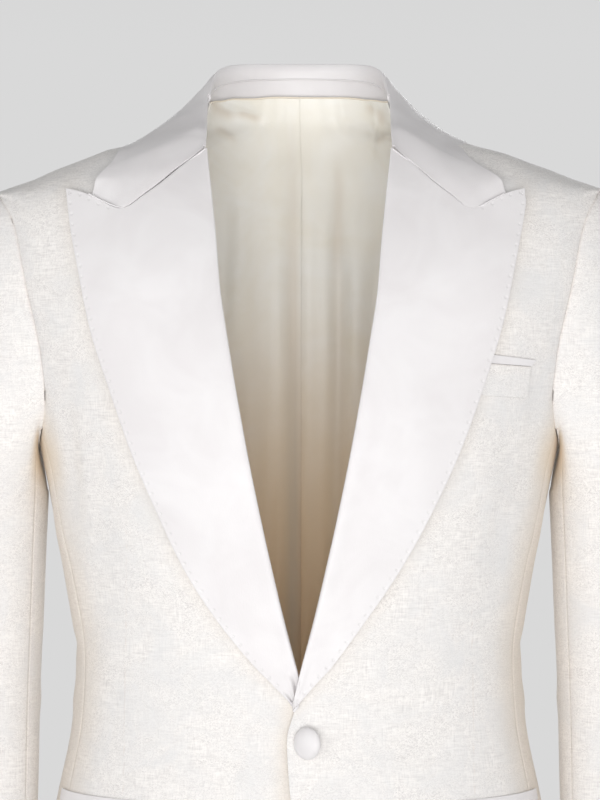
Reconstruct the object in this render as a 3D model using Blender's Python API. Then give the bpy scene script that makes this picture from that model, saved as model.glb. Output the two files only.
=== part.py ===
"""Tuxedo jacket, one button, peaked satin lapels, in the hollow form that it has when it is worn.

Metres, +Z up. The front faces -Y and the wearer's left is +X. The origin is the nape: height zero is
the back neck seam, and the X and Y origin is the middle of the wearer's neck and shoulders.
Every panel is a cloth wall on one body surface, so that neighbours meet squarely at their seams.
"""

import math

import bmesh
import bpy
import numpy as np

MM = 0.001
NAMES = {1: "_left", -1: "_right"}  # ends of the names of pieces made once for each side

# ---------------------------------------------------------------- driving sizes
CLOTH = 2.0 * MM  # jacquard with its canvas
SATIN = 1.8 * MM  # lapel and collar, faced on both sides
TRIM = 1.3 * MM  # pocket edges
LINING = 1.0 * MM
SEAM = 0.3 * MM  # gap between two pieces that are sewn together
SLEEVE_SEAM = 0.45 * MM  # half the gap at a sleeve seam, which bends sharply at the armpit
SQUARENESS = 2.2  # exponent of the body's sections: 2 is an ellipse

HEM = -0.740  # jacket length below the nape
BREAK = -0.461  # where the lapel rolls open
SHOULDER = -0.0734  # height of the shoulder point
SIDE_NECK = -0.0203  # height where the shoulder seam meets the collar
UNDERARM = -0.272

# One row for each section of the body, from the nape down.
BODY_COLUMNS = ("height", "half_width", "front_depth", "back_depth")
BODY = (
    (0.000, 0.0700, 0.0180, 0.0660),
    (SIDE_NECK, 0.0780, 0.0350, 0.0700),
    (-0.034, 0.1174, 0.0470, 0.0755),
    (-0.047, 0.1547, 0.0580, 0.0805),
    (-0.060, 0.1921, 0.0680, 0.0860),
    (SHOULDER, 0.2307, 0.0765, 0.0905),
    (-0.085, 0.2332, 0.0840, 0.0950),
    (-0.115, 0.2335, 0.1010, 0.1040),
    (-0.160, 0.2275, 0.1170, 0.1135),
    (-0.210, 0.2130, 0.1255, 0.1165),
    (-0.262, 0.2000, 0.1290, 0.1125),
    (-0.310, 0.1897, 0.1270, 0.1030),
    (-0.370, 0.1765, 0.1215, 0.0875),
    (-0.430, 0.1694, 0.1180, 0.0800),
    (-0.470, 0.1716, 0.1185, 0.0835),
    (-0.540, 0.1838, 0.1240, 0.1000),
    (-0.640, 0.1985, 0.1290, 0.1185),
    (HEM, 0.2040, 0.1280, 0.1170),
)

# The free edge of each front: the roll line above the break, the overlap below it, then the cutaway.
FRONT_EDGE_COLUMNS = ("height", "past_centre")
FRONT_EDGE = (
    (SIDE_NECK, 0.0735),
    (-0.034, 0.0708),
    (-0.048, 0.0690),
    (-0.100, 0.0629),
    (-0.163, 0.0566),
    (-0.222, 0.0475),
    (-0.281, 0.0366),
    (-0.335, 0.0255),
    (-0.390, 0.0128),
    (-0.438, 0.0003),
    (BREAK, -0.0048),
    (-0.479, -0.0077),
    (-0.495, -0.0085),
    (-0.530, -0.0058),
    (-0.560, 0.0000),
    (-0.600, 0.0105),
    (-0.640, 0.0250),
    (-0.680, 0.0450),
    (-0.705, 0.0640),
    (-0.725, 0.0880),
    (-0.735, 0.1080),
    (HEM, 0.1250),
)
ROLL_INSET = 2.4 * MM  # the panel stops this far short of the roll line, inside the lapel's fold
OVERLAP_LIFT = {1: 2.2 * MM, -1: -1.0 * MM}  # the left front lies over the right
OVERLAP_REACH = 0.050

# Seams either side of the side panel, as their distance in front of or behind the middle of the body.
SIDE_SEAM_COLUMNS = ("height", "front_seam", "back_seam")
SIDE_SEAM = (
    (-0.2587, 0.0404, 0.0356),
    (-0.310, 0.0412, 0.0365),
    (-0.430, 0.0425, 0.0380),
    (HEM, 0.0460, 0.0480),
)

# Armhole: an egg in side view, deeper towards its lower front. Turns start at the shoulder point.
ARMHOLE_MIDDLE = (SHOULDER + UNDERARM) / 2
ARMHOLE_HALF_HEIGHT = (SHOULDER - UNDERARM) / 2
ARMHOLE_FRONT, ARMHOLE_FRONT_SCOOP = 0.058, 0.50
ARMHOLE_BACK, ARMHOLE_BACK_SCOOP = 0.066, 0.10
ARMHOLE_LOW = 3.5  # how late the scoop sets in
TOP_SLEEVE_TURNS = (-128, -104, -82, -62, -44, -28, -14, 0, 14, 28, 44, 62, 82, 104, 128, 150)
UNDER_SLEEVE_TURNS = (150, 165, 180, 195, 210, 232)
SIDE_PANEL_TURNS = UNDER_SLEEVE_TURNS[:-1]

# How far the sleeve head reaches out of the armhole before it falls.
SLEEVE_HEAD_COLUMNS = ("turn", "out", "down")
SLEEVE_HEAD = ((0, 0.100, 0.220), (90, 0.050, 0.130), (150, 0.016, 0.060), (180, 0.008, 0.030))
HEAD_SLOPE = 0.42  # the shoulder line carries on into the sleeve head
CAP_STEPS = (0.0, 0.10, 0.22, 0.36, 0.52, 0.68, 0.84)

# Sleeve sections below the armpit, from the biceps to the cuff.
SLEEVE_COLUMNS = ("height", "inner", "outer", "front", "back")
SLEEVE = (
    (-0.312, 0.1918, 0.3060, -0.0500, 0.0580),
    (-0.350, 0.1935, 0.3070, -0.0490, 0.0570),
    (-0.390, 0.1950, 0.3070, -0.0480, 0.0550),
    (-0.430, 0.1966, 0.3060, -0.0480, 0.0520),
    (-0.470, 0.1980, 0.3045, -0.0500, 0.0480),
    (-0.515, 0.1986, 0.3030, -0.0540, 0.0420),
    (-0.560, 0.1995, 0.3015, -0.0590, 0.0340),
    (-0.610, 0.2015, 0.3000, -0.0650, 0.0250),
    (-0.660, 0.2035, 0.2990, -0.0710, 0.0160),
    (-0.700, 0.2050, 0.2985, -0.0760, 0.0085),
)

# Lapel: rows from the break up. Each joins a height on the roll line to one on the outer edge.
LAPEL_ROW_COLUMNS = ("roll_height", "outer_height", "notch_share")
LAPEL_ROWS = (
    (-0.4590, -0.4625, 0.0),
    (-0.4450, -0.4500, 0.0),
    (-0.4350, -0.4400, 0.0),
    (-0.4250, -0.4300, 0.0),
    (-0.3950, -0.4000, 0.0),
    (-0.3600, -0.3600, 0.0),
    (-0.3200, -0.3180, 0.0),
    (-0.2800, -0.2750, 0.0),
    (-0.2400, -0.2300, 0.0),
    (-0.2000, -0.1850, 0.0),
    (-0.1600, -0.1450, 0.0),
    (-0.1230, -0.1130, 0.12),
    (-0.0900, -0.0910, 0.45),
    (-0.0680, -0.0850, 0.72),
    (-0.0482, -0.0782, 1.0),
)
LAPEL_EDGE_COLUMNS = ("height", "left", "right")
LAPEL_EDGE = (
    (-0.4625, -0.0010, 0.0080),
    (-0.4500, 0.0075, 0.0150),
    (-0.4300, 0.0257, 0.0342),
    (-0.4000, 0.0478, 0.0588),
    (-0.3600, 0.0752, 0.0848),
    (-0.3180, 0.0982, 0.1048),
    (-0.2750, 0.1183, 0.1234),
    (-0.2300, 0.1349, 0.1393),
    (-0.1850, 0.1492, 0.1540),
    (-0.1450, 0.1584, 0.1627),
    (-0.1130, 0.1651, 0.1694),
    (-0.0910, 0.1693, 0.1728),
    (-0.0782, 0.1690, 0.1744),
)
# Top of the lapel, under the straight line from the roll line to the peak's tip.
NOTCH_COLUMNS = ("share", "dip")
NOTCH = (
    (0.07, 0.0030),
    (0.20, 0.0097),
    (0.33, 0.0176),
    (0.46, 0.0239),
    (0.59, 0.0283),
    (0.73, 0.0190),
    (0.87, 0.0075),
    (1.00, 0.0000),
)
GORGE_STEPS = 5  # columns of the lapel that meet the collar
# The lapel rolls round the front's edge: places along and out from that edge, in mm, for both faces.
ROLL_COLUMNS = ("outer_along", "outer_out", "inner_along", "inner_out")
ROLL = (
    (-2.5, -2.0, -0.5, -2.0),
    (-2.4, 0.2, -0.45, 0.0),
    (-1.6, 2.4, -0.3, 0.8),
    (0.8, 3.3, 0.8, 1.4),
)
LAPEL_LIFT = 2.7 * MM
LAPEL_STAND = 2.0 * MM  # the outer edge stands off the chest
ROLL_ENDS = (-0.445, -0.425)  # the right lapel's fold flattens here, where it runs under the left front
ROLL_CLEAR = 0.8 * MM  # the right lapel stops short of the left front

# Collar sections from the centre back round to the gorge. The first seven stand on the back neck seam.
COLLAR_COLUMNS = ("fold_x", "fold_y", "fold_height", "edge_turn", "edge_height")
COLLAR_BACK = (
    (0.0000, 0.0640, 0.0255, 180, -0.0180),
    (0.0192, 0.0620, 0.0253, 167, -0.0195),
    (0.0357, 0.0562, 0.0248, 155, -0.0235),
    (0.0495, 0.0475, 0.0234, 143, -0.0280),
    (0.0600, 0.0345, 0.0206, 130, -0.0318),
    (0.0666, 0.0200, 0.0140, 111, -0.0355),
    (0.0697, 0.0020, -0.0016, 90, -0.0373),
)
COLLAR_FRONT = (
    (0.0699, -0.0100, -0.0108, 70, -0.0402),
    (0.0699, -0.0260, -0.0232, 54, -0.0488),
    (0.0697, -0.0370, -0.0298, 44.5, -0.0592),
    (0.0693, -0.0450, -0.0362, 39.2, -0.0704),
)
NECK_ROWS = (SIDE_NECK, -0.027, -0.034, -0.040)  # heights of the front sections on the neck seam
COLLAR_CORNER = (0.1545, -0.0815)
LEAF_STEPS = (0.07, 0.20, 0.35, 0.50, 0.65, 0.82, 1.0)
STAND_SECTIONS = 8  # it tapers out under the front of the fold
STAND_SHARE = 0.58  # height of the stand's seam between the neck seam and the fold
COLLAR_SEAM = 0.8 * MM

# Pocket edges, as corners (x, height): top inner, top outer, bottom outer, bottom inner.
WELT_STRIP = ((0.1300, -0.2018), (0.1757, -0.2070), (0.1716, -0.2115), (0.1280, -0.2088))
WELT = ((0.1279, -0.2092), (0.1715, -0.2119), (0.1688, -0.2352), (0.1210, -0.2325))
WELT_LIFT = 1.8 * MM
POCKET_TOP = -0.5300
POCKET_EDGE_HEIGHT = 8.5 * MM
POCKET_SLOPE = 0.0028  # the pocket drops this far from back to front
POCKET_REACH = (3, 76.8)  # first column of the front panel, and the last turn, on the side panel

BUTTON_PLACE = (0.0069, -0.4873)
BUTTON_COLUMNS = ("radius", "height")
BUTTON = ((8.0, 0.0), (11.0, 0.9), (11.9, 2.4), (11.0, 4.2), (8.6, 5.7), (5.2, 6.7), (2.2, 7.1))  # mm
BUTTON_SIDES = 24

# Back lining, hung inside the back panels. Columns are counted in the back panel's own columns.
LINING_CLEAR = 0.7 * MM
LINING_HEM = -0.715
LINING_COLUMNS = (0.05, 0.4, 0.8, 1.15, 1.5, 1.85, 2.2, 2.6, 3.0, 4.0, 5.0, 6.0, 7.0, 7.7)
LINING_SKIPS = (1, 20)  # rows of the panel that the lining does without
PLEAT_UNDER = 0.6  # columns that the right piece runs on under the left one
PLEAT_DEPTH = 1.9 * MM
LINING_FOLD_COLUMNS = ("x", "width", "depth")
LINING_FOLDS = (
    (0.047, 0.010, 0.0032),
    (0.074, 0.013, 0.0030),
    (-0.040, 0.013, 0.0030),
    (-0.072, 0.012, 0.0022),
)

IVORY = (0.90, 0.88, 0.84)
SATIN_WHITE = (0.93, 0.92, 0.91)
CREAM = (0.84, 0.80, 0.68)


# ---------------------------------------------------------------- smooth tables
def smooth(table, column, at):
    """A column of a table at the given heights, by a cubic that never overshoots its rows."""
    rows = sorted(table)
    xs = np.array([row[0] for row in rows])
    ys = np.array([row[column] for row in rows])
    steps = np.diff(xs)
    slopes = np.diff(ys) / steps
    tangents = np.zeros(len(xs))
    tangents[0], tangents[-1] = slopes[0], slopes[-1]
    for i in range(1, len(xs) - 1):
        if slopes[i - 1] * slopes[i] > 0:
            before, after = 2 * steps[i] + steps[i - 1], steps[i] + 2 * steps[i - 1]
            tangents[i] = (before + after) / (before / slopes[i - 1] + after / slopes[i])
    at = np.clip(np.asarray(at, float), xs[0], xs[-1])
    i = np.clip(np.searchsorted(xs, at, side="right") - 1, 0, len(xs) - 2)
    t = (at - xs[i]) / steps[i]
    return (
        (1 + 2 * t) * (1 - t) ** 2 * ys[i]
        + t * (1 - t) ** 2 * steps[i] * tangents[i]
        + t * t * (3 - 2 * t) * ys[i + 1]
        + t * t * (t - 1) * steps[i] * tangents[i + 1]
    )


def ramp(value, start, end):
    """0 before start, 1 after end, and smooth between them."""
    t = np.clip((np.asarray(value, float) - start) / (end - start), 0, 1)
    return t * t * (3 - 2 * t)


# ---------------------------------------------------------------- body surface
def body(turn, height):
    """The point on the body at a turn (0 centre front, 90 side, 180 centre back, in radians) and height."""
    wide = smooth(BODY, 1, height)
    deep = np.where(np.cos(turn) > 0, -smooth(BODY, 2, height), smooth(BODY, 3, height))
    power = 2 / SQUARENESS
    x = wide * np.sign(np.sin(turn)) * np.abs(np.sin(turn)) ** power
    y = deep * np.abs(np.cos(turn)) ** power
    return np.stack([x, y, np.broadcast_to(height, np.shape(x))], axis=-1)


def body_normal(turn, height):
    """Unit normal of the body, pointing out."""
    small_turn, small_height = 1e-3, 2e-4
    around = body(turn + small_turn, height) - body(turn - small_turn, height)
    up = body(turn, height + small_height) - body(turn, height - small_height)
    normal = np.cross(around, up)
    return normal / np.linalg.norm(normal, axis=-1, keepdims=True)


def turn_at_x(x, height):
    share = np.clip(np.abs(x) / smooth(BODY, 1, height), 0, 1)
    return np.sign(x) * np.arcsin(share ** (SQUARENESS / 2))


def turn_at_y(y, height):
    y = np.asarray(y, float)
    deep = np.where(y < 0, smooth(BODY, 2, height), smooth(BODY, 3, height))
    turn = np.arccos(np.clip(np.abs(y) / deep, 0, 1) ** (SQUARENESS / 2))
    return np.where(y < 0, turn, math.pi - turn)


def armhole(turn_deg):
    """(distance behind the middle, height) on the armhole: 0 is the shoulder point, 90 the front."""
    t = np.radians(turn_deg)
    height = ARMHOLE_MIDDLE + ARMHOLE_HALF_HEIGHT * np.cos(t)
    low = ((1 - np.cos(t)) / 2) ** ARMHOLE_LOW
    front = -ARMHOLE_FRONT * np.sin(t) * (1 + ARMHOLE_FRONT_SCOOP * low)
    back = -ARMHOLE_BACK * np.sin(t) * (1 + ARMHOLE_BACK_SCOOP * low)
    return np.where(np.sin(t) > 0, front, back), height


# ---------------------------------------------------------------- making walls
def material(name, colour, roughness):
    made = bpy.data.materials.new(name)
    made.use_nodes = True
    shader = made.node_tree.nodes["Principled BSDF"]
    shader.inputs["Base Color"].default_value = (*colour, 1)
    shader.inputs["Roughness"].default_value = roughness
    return made


def link(name, mesh, cloth):
    for face in mesh.polygons:
        face.use_smooth = True
    mesh.set_sharp_from_angle(angle=math.radians(40))
    made = bpy.data.objects.new(name, mesh)
    made.data.materials.append(cloth)
    jacket.objects.link(made)
    return made


def wall(name, outer, inner, cloth, side=1):
    """A closed wall between two grids of points; side -1 mirrors it to the wearer's right."""
    outer, inner = np.array(outer, float), np.array(inner, float)
    outer[..., 0] *= side
    inner[..., 0] *= side
    rows, columns = outer.shape[:2]
    made = bmesh.new()
    skins = [[[made.verts.new(p) for p in row] for row in grid] for grid in (outer, inner)]
    for skin in skins:
        for i in range(rows - 1):
            for j in range(columns - 1):
                made.faces.new((skin[i][j], skin[i][j + 1], skin[i + 1][j + 1], skin[i + 1][j]))
    rim = [(i, 0) for i in range(rows)]
    rim += [(rows - 1, j) for j in range(1, columns)]
    rim += [(i, columns - 1) for i in range(rows - 2, -1, -1)]
    rim += [(0, j) for j in range(columns - 2, 0, -1)]
    for (i, j), (k, m) in zip(rim, rim[1:] + rim[:1]):
        made.faces.new((skins[0][i][j], skins[0][k][m], skins[1][k][m], skins[1][i][j]))
    bmesh.ops.recalc_face_normals(made, faces=made.faces)
    mesh = bpy.data.meshes.new(name)
    made.to_mesh(mesh)
    made.free()
    return link(name, mesh, cloth)


def on_body(turn, height, lift, thick):
    """Outer and inner points of a wall whose outer face stands lift above the body."""
    point, normal = body(turn, height), body_normal(turn, height)
    lift = np.asarray(lift, float)[..., None] if np.ndim(lift) else lift
    return point + normal * lift, point + normal * (lift - thick)


def spread(start, end, count):
    """count + 1 values for each row, evenly from its start to its end."""
    share = np.linspace(0, 1, count + 1)
    return start[:, None] + (end - start)[:, None] * share


# ---------------------------------------------------------------- the shell's panels
SKIRT_ROWS = (HEM, -0.735, -0.725, -0.705, -0.680, -0.640, -0.600, -0.560, -0.530)
WAIST_ROWS = (-0.495, -0.479, BREAK)
CHEST_ROWS = (-0.425, -0.390, -0.350, -0.310, -0.280)
ARM_ROWS = tuple(float(armhole(t)[1]) for t in (150, 128, 104, 82, 62, 44, 28, 14, 0))
RIDGE_ROWS = (-0.060, -0.047) + NECK_ROWS[::-1]
PANEL_ROWS = np.array(SKIRT_ROWS + WAIST_ROWS + CHEST_ROWS + ARM_ROWS + RIDGE_ROWS)
BACK_ROWS = PANEL_ROWS[[i for i in range(len(PANEL_ROWS)) if i not in (1, 2, 4, 10)]]
FRONT_STEPS, BACK_STEPS = 8, 8


def roll_x(height):
    return smooth(FRONT_EDGE, 1, height)


def edge_x(height):
    """The panel's own edge, which hides inside the lapel's fold above the break."""
    return roll_x(height) + ROLL_INSET * ramp(height, BREAK - 0.018, BREAK)


def front_lift(x, height, side):
    """How far a front stands off the body where the two fronts overlap."""
    near = np.exp(-((np.maximum(x, 0) / OVERLAP_REACH) ** 2))
    return OVERLAP_LIFT[side] * near * (1 - ramp(height, -0.42, -0.30))


def armhole_turn(height, behind):
    """Body turn of the armhole's edge at a height, on its front or its back."""
    across = np.clip((height - ARMHOLE_MIDDLE) / ARMHOLE_HALF_HEIGHT, -1, 1)
    around = np.degrees(np.arccos(across))
    y = armhole(360 - around if behind else around)[0]
    gap = SEAM / 2 if behind else -SEAM / 2
    return turn_at_y(np.where(height > SHOULDER, 0, y) + gap, height)


def side_turn(height, behind, gap):
    if behind:
        return turn_at_y(smooth(SIDE_SEAM, 2, height) + gap, height)
    return turn_at_y(-smooth(SIDE_SEAM, 1, height) - gap, height)


def outer_turn(rows, behind):
    """Turn of a panel's outer edge: the side seam, then the armhole, then the shoulder seam."""
    below = rows < ARM_ROWS[0] - MM
    return np.where(below, side_turn(rows, behind, SEAM / 2), armhole_turn(rows, behind))


def front_turns(rows):
    return spread(turn_at_x(edge_x(rows), rows), outer_turn(rows, False), FRONT_STEPS)


def front_panel(side, cloth):
    turn = front_turns(PANEL_ROWS)
    height = np.repeat(PANEL_ROWS[:, None], FRONT_STEPS + 1, axis=1)
    lift = front_lift(body(turn, height)[..., 0], height, side)
    return wall("front" + NAMES[side], *on_body(turn, height, lift, CLOTH), cloth, side)


def back_grid():
    """Turns and heights of a back panel. Its rows rise to the nape, so that the top one is the neck seam."""
    rows = BACK_ROWS
    share = np.linspace(0, 1, BACK_STEPS + 1)[None, :]
    rise = ramp(rows, -0.20, SIDE_NECK)[:, None] * -SIDE_NECK
    height = rows[:, None] + rise * (1 - share**2)
    centre = math.pi - turn_at_x(np.full(len(rows), SEAM / 2), rows)
    return centre[:, None] + (outer_turn(rows, True) - centre)[:, None] * share, height


def back_panel(side, cloth):
    return wall("back" + NAMES[side], *on_body(*back_grid(), 0.0, CLOTH), cloth, side)


def side_panel(side, cloth):
    rows = BACK_ROWS[BACK_ROWS < ARM_ROWS[0] - 0.01]
    front, back = side_turn(rows, False, -SEAM / 2), side_turn(rows, True, -SEAM / 2)
    turn = spread(front, back, len(SIDE_PANEL_TURNS) - 1)
    height = np.repeat(rows[:, None], len(SIDE_PANEL_TURNS), axis=1)
    top_y, top_height = armhole(np.array(SIDE_PANEL_TURNS))
    top_y[0] += SEAM / 2
    top_y[-1] -= SEAM / 2
    turn = np.vstack([turn, turn_at_y(top_y, top_height)])
    height = np.vstack([height, top_height])
    return wall("side" + NAMES[side], *on_body(turn, height, 0.0, CLOTH), cloth, side)


# ---------------------------------------------------------------- sleeves
def unit(vectors):
    return vectors / np.linalg.norm(vectors, axis=-1, keepdims=True)


def grid_normals(grid, around=None):
    around = np.gradient(grid, axis=1) if around is None else around
    return unit(np.cross(around, np.gradient(grid, axis=0)))


def sleeve_ring(turns):
    """Points and normals of the sleeve at the given turns, from the armhole to the cuff."""
    t = np.radians(turns)
    y, height = armhole(turns)
    start = body(turn_at_y(y, height), height)
    top = (1 + np.cos(t)) / 2
    out = unit(np.stack([np.ones_like(t), 0 * t, -HEAD_SLOPE * top**2], axis=-1))
    radial = unit(np.stack([0 * t, y, height - ARMHOLE_MIDDLE], axis=-1))
    start_normal = unit(radial - out * np.sum(radial * out, axis=-1, keepdims=True))
    start = start + out * SEAM

    bend = np.abs((turns + 180) % 360 - 180)
    sections = []
    for height, inner, outer, front, back in SLEEVE:
        x = (inner + outer) / 2 + (outer - inner) / 2 * np.cos(t)
        y = (front + back) / 2 - (back - front) / 2 * np.sin(t)
        sections.append(np.stack([x, y, np.full_like(x, height)], axis=-1))
    leave = out * smooth(SLEEVE_HEAD, 1, bend)[:, None]
    arrive = unit(sections[1] - sections[0]) * smooth(SLEEVE_HEAD, 2, bend)[:, None]
    cap = []
    for u in CAP_STEPS:
        curve = (1 + 2 * u) * (1 - u) ** 2 * start + u * (1 - u) ** 2 * leave
        cap.append(curve + u * u * (3 - 2 * u) * sections[0] + u * u * (u - 1) * arrive)
    return np.array(cap + sections), start_normal


def sleeve_part(name, turns, cloth, side):
    turns = np.array(turns, float)
    grid, start_normal = sleeve_ring(turns)
    around = sleeve_ring(turns + 1)[0] - sleeve_ring(turns - 1)[0]
    normals = grid_normals(grid, around)
    normals[0] = start_normal
    along = unit(around)
    shift = np.zeros(len(turns))
    shift[0], shift[-1] = SLEEVE_SEAM, -SLEEVE_SEAM
    outer = grid + along * shift[None, :, None]
    return wall(name + NAMES[side], outer, outer - normals * CLOTH, cloth, side)


# ---------------------------------------------------------------- lapels and collar
def edge_frame(height, side):
    """A point on the straight runs of the front's edge, with the directions into and out of the panel."""
    x = edge_x(PANEL_ROWS)
    turn = turn_at_x(x, PANEL_ROWS)
    lift = front_lift(x, PANEL_ROWS, side)[:, None]
    points = body(turn, PANEL_ROWS) + body_normal(turn, PANEL_ROWS) * lift
    point = np.array([np.interp(height, PANEL_ROWS, points[:, k]) for k in range(3)])
    turn = turn_at_x(edge_x(height), height)
    inward = unit(body(turn + MM, height) - body(turn, height))
    return point, inward, body_normal(turn, height)


def lapel_grids(side):
    outer_rows, inner_rows = [], []
    for roll_height, outer_height, notch_share in LAPEL_ROWS:
        edge, inward, normal = edge_frame(roll_height, side)
        start = roll_x(roll_height)
        raised, drawn_in = 0.0, 0.0
        if side < 0:
            start = max(start, ROLL_CLEAR - start)
            under = np.clip((ROLL_ENDS[1] - roll_height) / (ROLL_ENDS[1] - ROLL_ENDS[0]), 0, 1)
            raised, drawn_in = min(1, 2 * under), max(0, 2 * under - 1)
        end = smooth(LAPEL_EDGE, 1 if side > 0 else 2, outer_height)
        share = np.array([row[0] for row in NOTCH])
        dip = np.array([row[1] for row in NOTCH])
        x = start + (end - start) * share
        height = roll_height + (outer_height - roll_height) * share - dip * notch_share
        lift = front_lift(x, height, side) + LAPEL_LIFT
        lift = lift + 0.6 * MM * np.exp(-(x - start) / 0.008)
        stand = ramp(height, -0.42, -0.30) * (1 - ramp(height, -0.15, -0.10))
        lift = lift + LAPEL_STAND * share**2 * stand
        outer, inner = on_body(turn_at_x(x, height), height, lift, SATIN)
        flat = start - edge_x(roll_height) + np.arange(len(ROLL)) * 0.15 * MM
        roll = np.array(ROLL) * MM
        faces = ((outer_rows, outer, 0, LAPEL_LIFT), (inner_rows, inner, 2, LAPEL_LIFT - SATIN))
        for rows, leaf, first, level in faces:
            along = roll[:, first] * (1 - drawn_in) + flat * drawn_in
            out = roll[:, first + 1] * (1 - raised) + level * raised
            rows.append(np.vstack([edge + np.outer(along, inward) + np.outer(out, normal), leaf]))
    return np.array(outer_rows), np.array(inner_rows)


def at_least(points, lift):
    """Points moved out until they stand lift above the body."""
    points = np.array(points, float)
    small = MM / 5
    for _ in range(4):
        level = body_level(points)
        ahead = [body_level(points + small * axis) for axis in np.eye(3)]
        slope = (np.stack(ahead, axis=-1) - level[..., None]) / small
        steep = np.linalg.norm(slope, axis=-1)
        short = np.maximum(lift - (level - 1) / steep, 0)
        points = points + slope * (short / steep)[..., None]
    return points


def body_level(points):
    x, y, height = np.moveaxis(points, -1, 0)
    deep = np.where(y < 0, smooth(BODY, 2, height), smooth(BODY, 3, height))
    wide = smooth(BODY, 1, height)
    return ((np.abs(x) / wide) ** SQUARENESS + (np.abs(y) / deep) ** SQUARENESS) ** (1 / SQUARENESS)


def neck_seam():
    """Points of the neck seam for each collar section but the gorge."""
    share = np.linspace(0, 1, len(COLLAR_BACK))
    back = body(math.pi - math.pi / 2 * share, SIDE_NECK * share**2)
    rows = np.array(NECK_ROWS)
    return np.vstack([back, body(turn_at_x(edge_x(rows), rows), rows)])


def collar_half(side, lapel):
    """Sections of the collar from the centre back to the gorge, and of its stand."""
    neck = neck_seam()
    table = np.array(COLLAR_BACK + COLLAR_FRONT)
    fold = table[:, :3]
    edge = body(np.radians(table[:, 3]), table[:, 4])
    edge = edge + body_normal(np.radians(table[:, 3]), table[:, 4]) * LAPEL_LIFT
    inward = unit(-fold * (1, 1, 0) + (0, 0.010, 0))
    seam = neck + STAND_SHARE * (fold - neck)
    seen = seam + inward * SATIN + unit(fold - neck) * SEAM
    down = np.array((0, 0, 1.0)) * MM
    rolls = [seen, seen * 0.4 + fold * 0.6 + inward * 0.8 * MM, fold, fold - inward * 2.6 * MM - down * 1.3]
    start, reach = rolls[-1], edge - rolls[-1]
    rise = 0.06 * np.linalg.norm(reach[:, :2], axis=1)[:, None]
    leave = start + 0.3 * reach + np.array((0, 0, 1.0)) * rise
    fall = edge - 0.3 * reach
    leaf = []
    for u in LEAF_STEPS:
        curve = (1 - u) ** 3 * start + 3 * u * (1 - u) ** 2 * leave
        curve = curve + 3 * u * u * (1 - u) * fall + u**3 * edge
        leaf.append(at_least(curve, LAPEL_LIFT))
    outer = np.stack(rolls + leaf, axis=1)

    top_outer, top_inner = lapel
    count = len(ROLL) + GORGE_STEPS
    notch = top_outer[count - 1]
    x = np.array([(notch[0] + COLLAR_CORNER[0]) / 2, COLLAR_CORNER[0]])
    height = np.array([(notch[2] + COLLAR_CORNER[1]) / 2 + MM, COLLAR_CORNER[1]])
    corner = on_body(turn_at_x(x, height), height, LAPEL_LIFT, SATIN)
    up = np.array((0, 0, COLLAR_SEAM))
    last_outer = np.vstack([top_outer[:count] + up, corner[0]])
    last_inner = np.vstack([top_inner[:count] + up, corner[1]])
    between = (outer[-1] + last_outer) / 2
    between[len(ROLL) :] = at_least(between[len(ROLL) :], LAPEL_LIFT)
    outer = np.concatenate([outer, between[None], last_outer[None]])
    inner = outer + grid_normals(outer) * SATIN
    inner[:-2, 0] = seam + unit(fold - neck) * SEAM
    inner[-1] = last_inner
    inner[0, :, 0] = 0
    low = neck + unit(fold - neck) * SEAM
    stand = np.stack([low, (low + seam) / 2, seam], axis=1)[:STAND_SECTIONS]
    stand_seen = stand + inward[:STAND_SECTIONS, None] * CLOTH
    flip = np.array((side, 1, 1))
    return outer * flip, inner * flip, stand * flip, stand_seen * flip


def collar(tops, cloth):
    left, right = collar_half(1, tops[1]), collar_half(-1, tops[-1])
    both = [np.concatenate([r[:0:-1], l]) for r, l in zip(right, left)]
    wall("collar", both[0], both[1], cloth)
    wall("collar_stand", both[3], both[2], cloth)


# ---------------------------------------------------------------- pockets, button, lining
def patch(name, corners, lift, steps, cloth, side=1):
    """A flat piece laid on a front, between four corners given as x and height."""
    top = np.linspace(corners[0], corners[1], steps[0] + 1)
    bottom = np.linspace(corners[3], corners[2], steps[0] + 1)
    grid = np.linspace(bottom, top, steps[1] + 1)
    x, height = grid[..., 0], grid[..., 1]
    return wall(name, *on_body(turn_at_x(x, height), height, lift, TRIM), cloth, side)


def pocket_edge(name, top, side, cloth):
    """One satin edge of the hip pocket, on the columns of the front panel and over its side seam."""
    rows = top - np.linspace(POCKET_EDGE_HEIGHT, 0, 3)
    turn = front_turns(rows)[:, POCKET_REACH[0] :]
    turn[:, -1] += math.radians(0.1)
    last = np.full((len(rows), 1), math.radians(POCKET_REACH[1]))
    turn = np.hstack([turn, last])
    height = rows[:, None] - POCKET_SLOPE * np.linspace(1, 0, turn.shape[1])[None, :]
    lift = TRIM + SEAM + 0.15 * MM
    return wall(name + NAMES[side], *on_body(turn, height, lift, TRIM), cloth, side)


def button(cloth):
    x, height = BUTTON_PLACE
    turn = turn_at_x(x, height)
    axis = body_normal(turn, height)
    seat = body(turn, height) + axis * front_lift(x, height, 1)
    across = unit(np.cross(axis, (0, 0, 1.0)))
    up = np.cross(across, axis)
    made = bmesh.new()
    rings = []
    for radius, out in BUTTON:
        ring = []
        for k in range(BUTTON_SIDES):
            a = 2 * math.pi * k / BUTTON_SIDES
            spoke = across * math.cos(a) + up * math.sin(a)
            ring.append(made.verts.new(seat + spoke * radius * MM + axis * out * MM))
        rings.append(ring)
    for low, high in zip(rings, rings[1:]):
        for k in range(BUTTON_SIDES):
            m = (k + 1) % BUTTON_SIDES
            made.faces.new((low[k], low[m], high[m], high[k]))
    made.faces.new(rings[0][::-1])
    made.faces.new(rings[-1])
    bmesh.ops.recalc_face_normals(made, faces=made.faces)
    mesh = bpy.data.meshes.new("front_button")
    made.to_mesh(mesh)
    made.free()
    return link("front_button", mesh, cloth)


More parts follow.
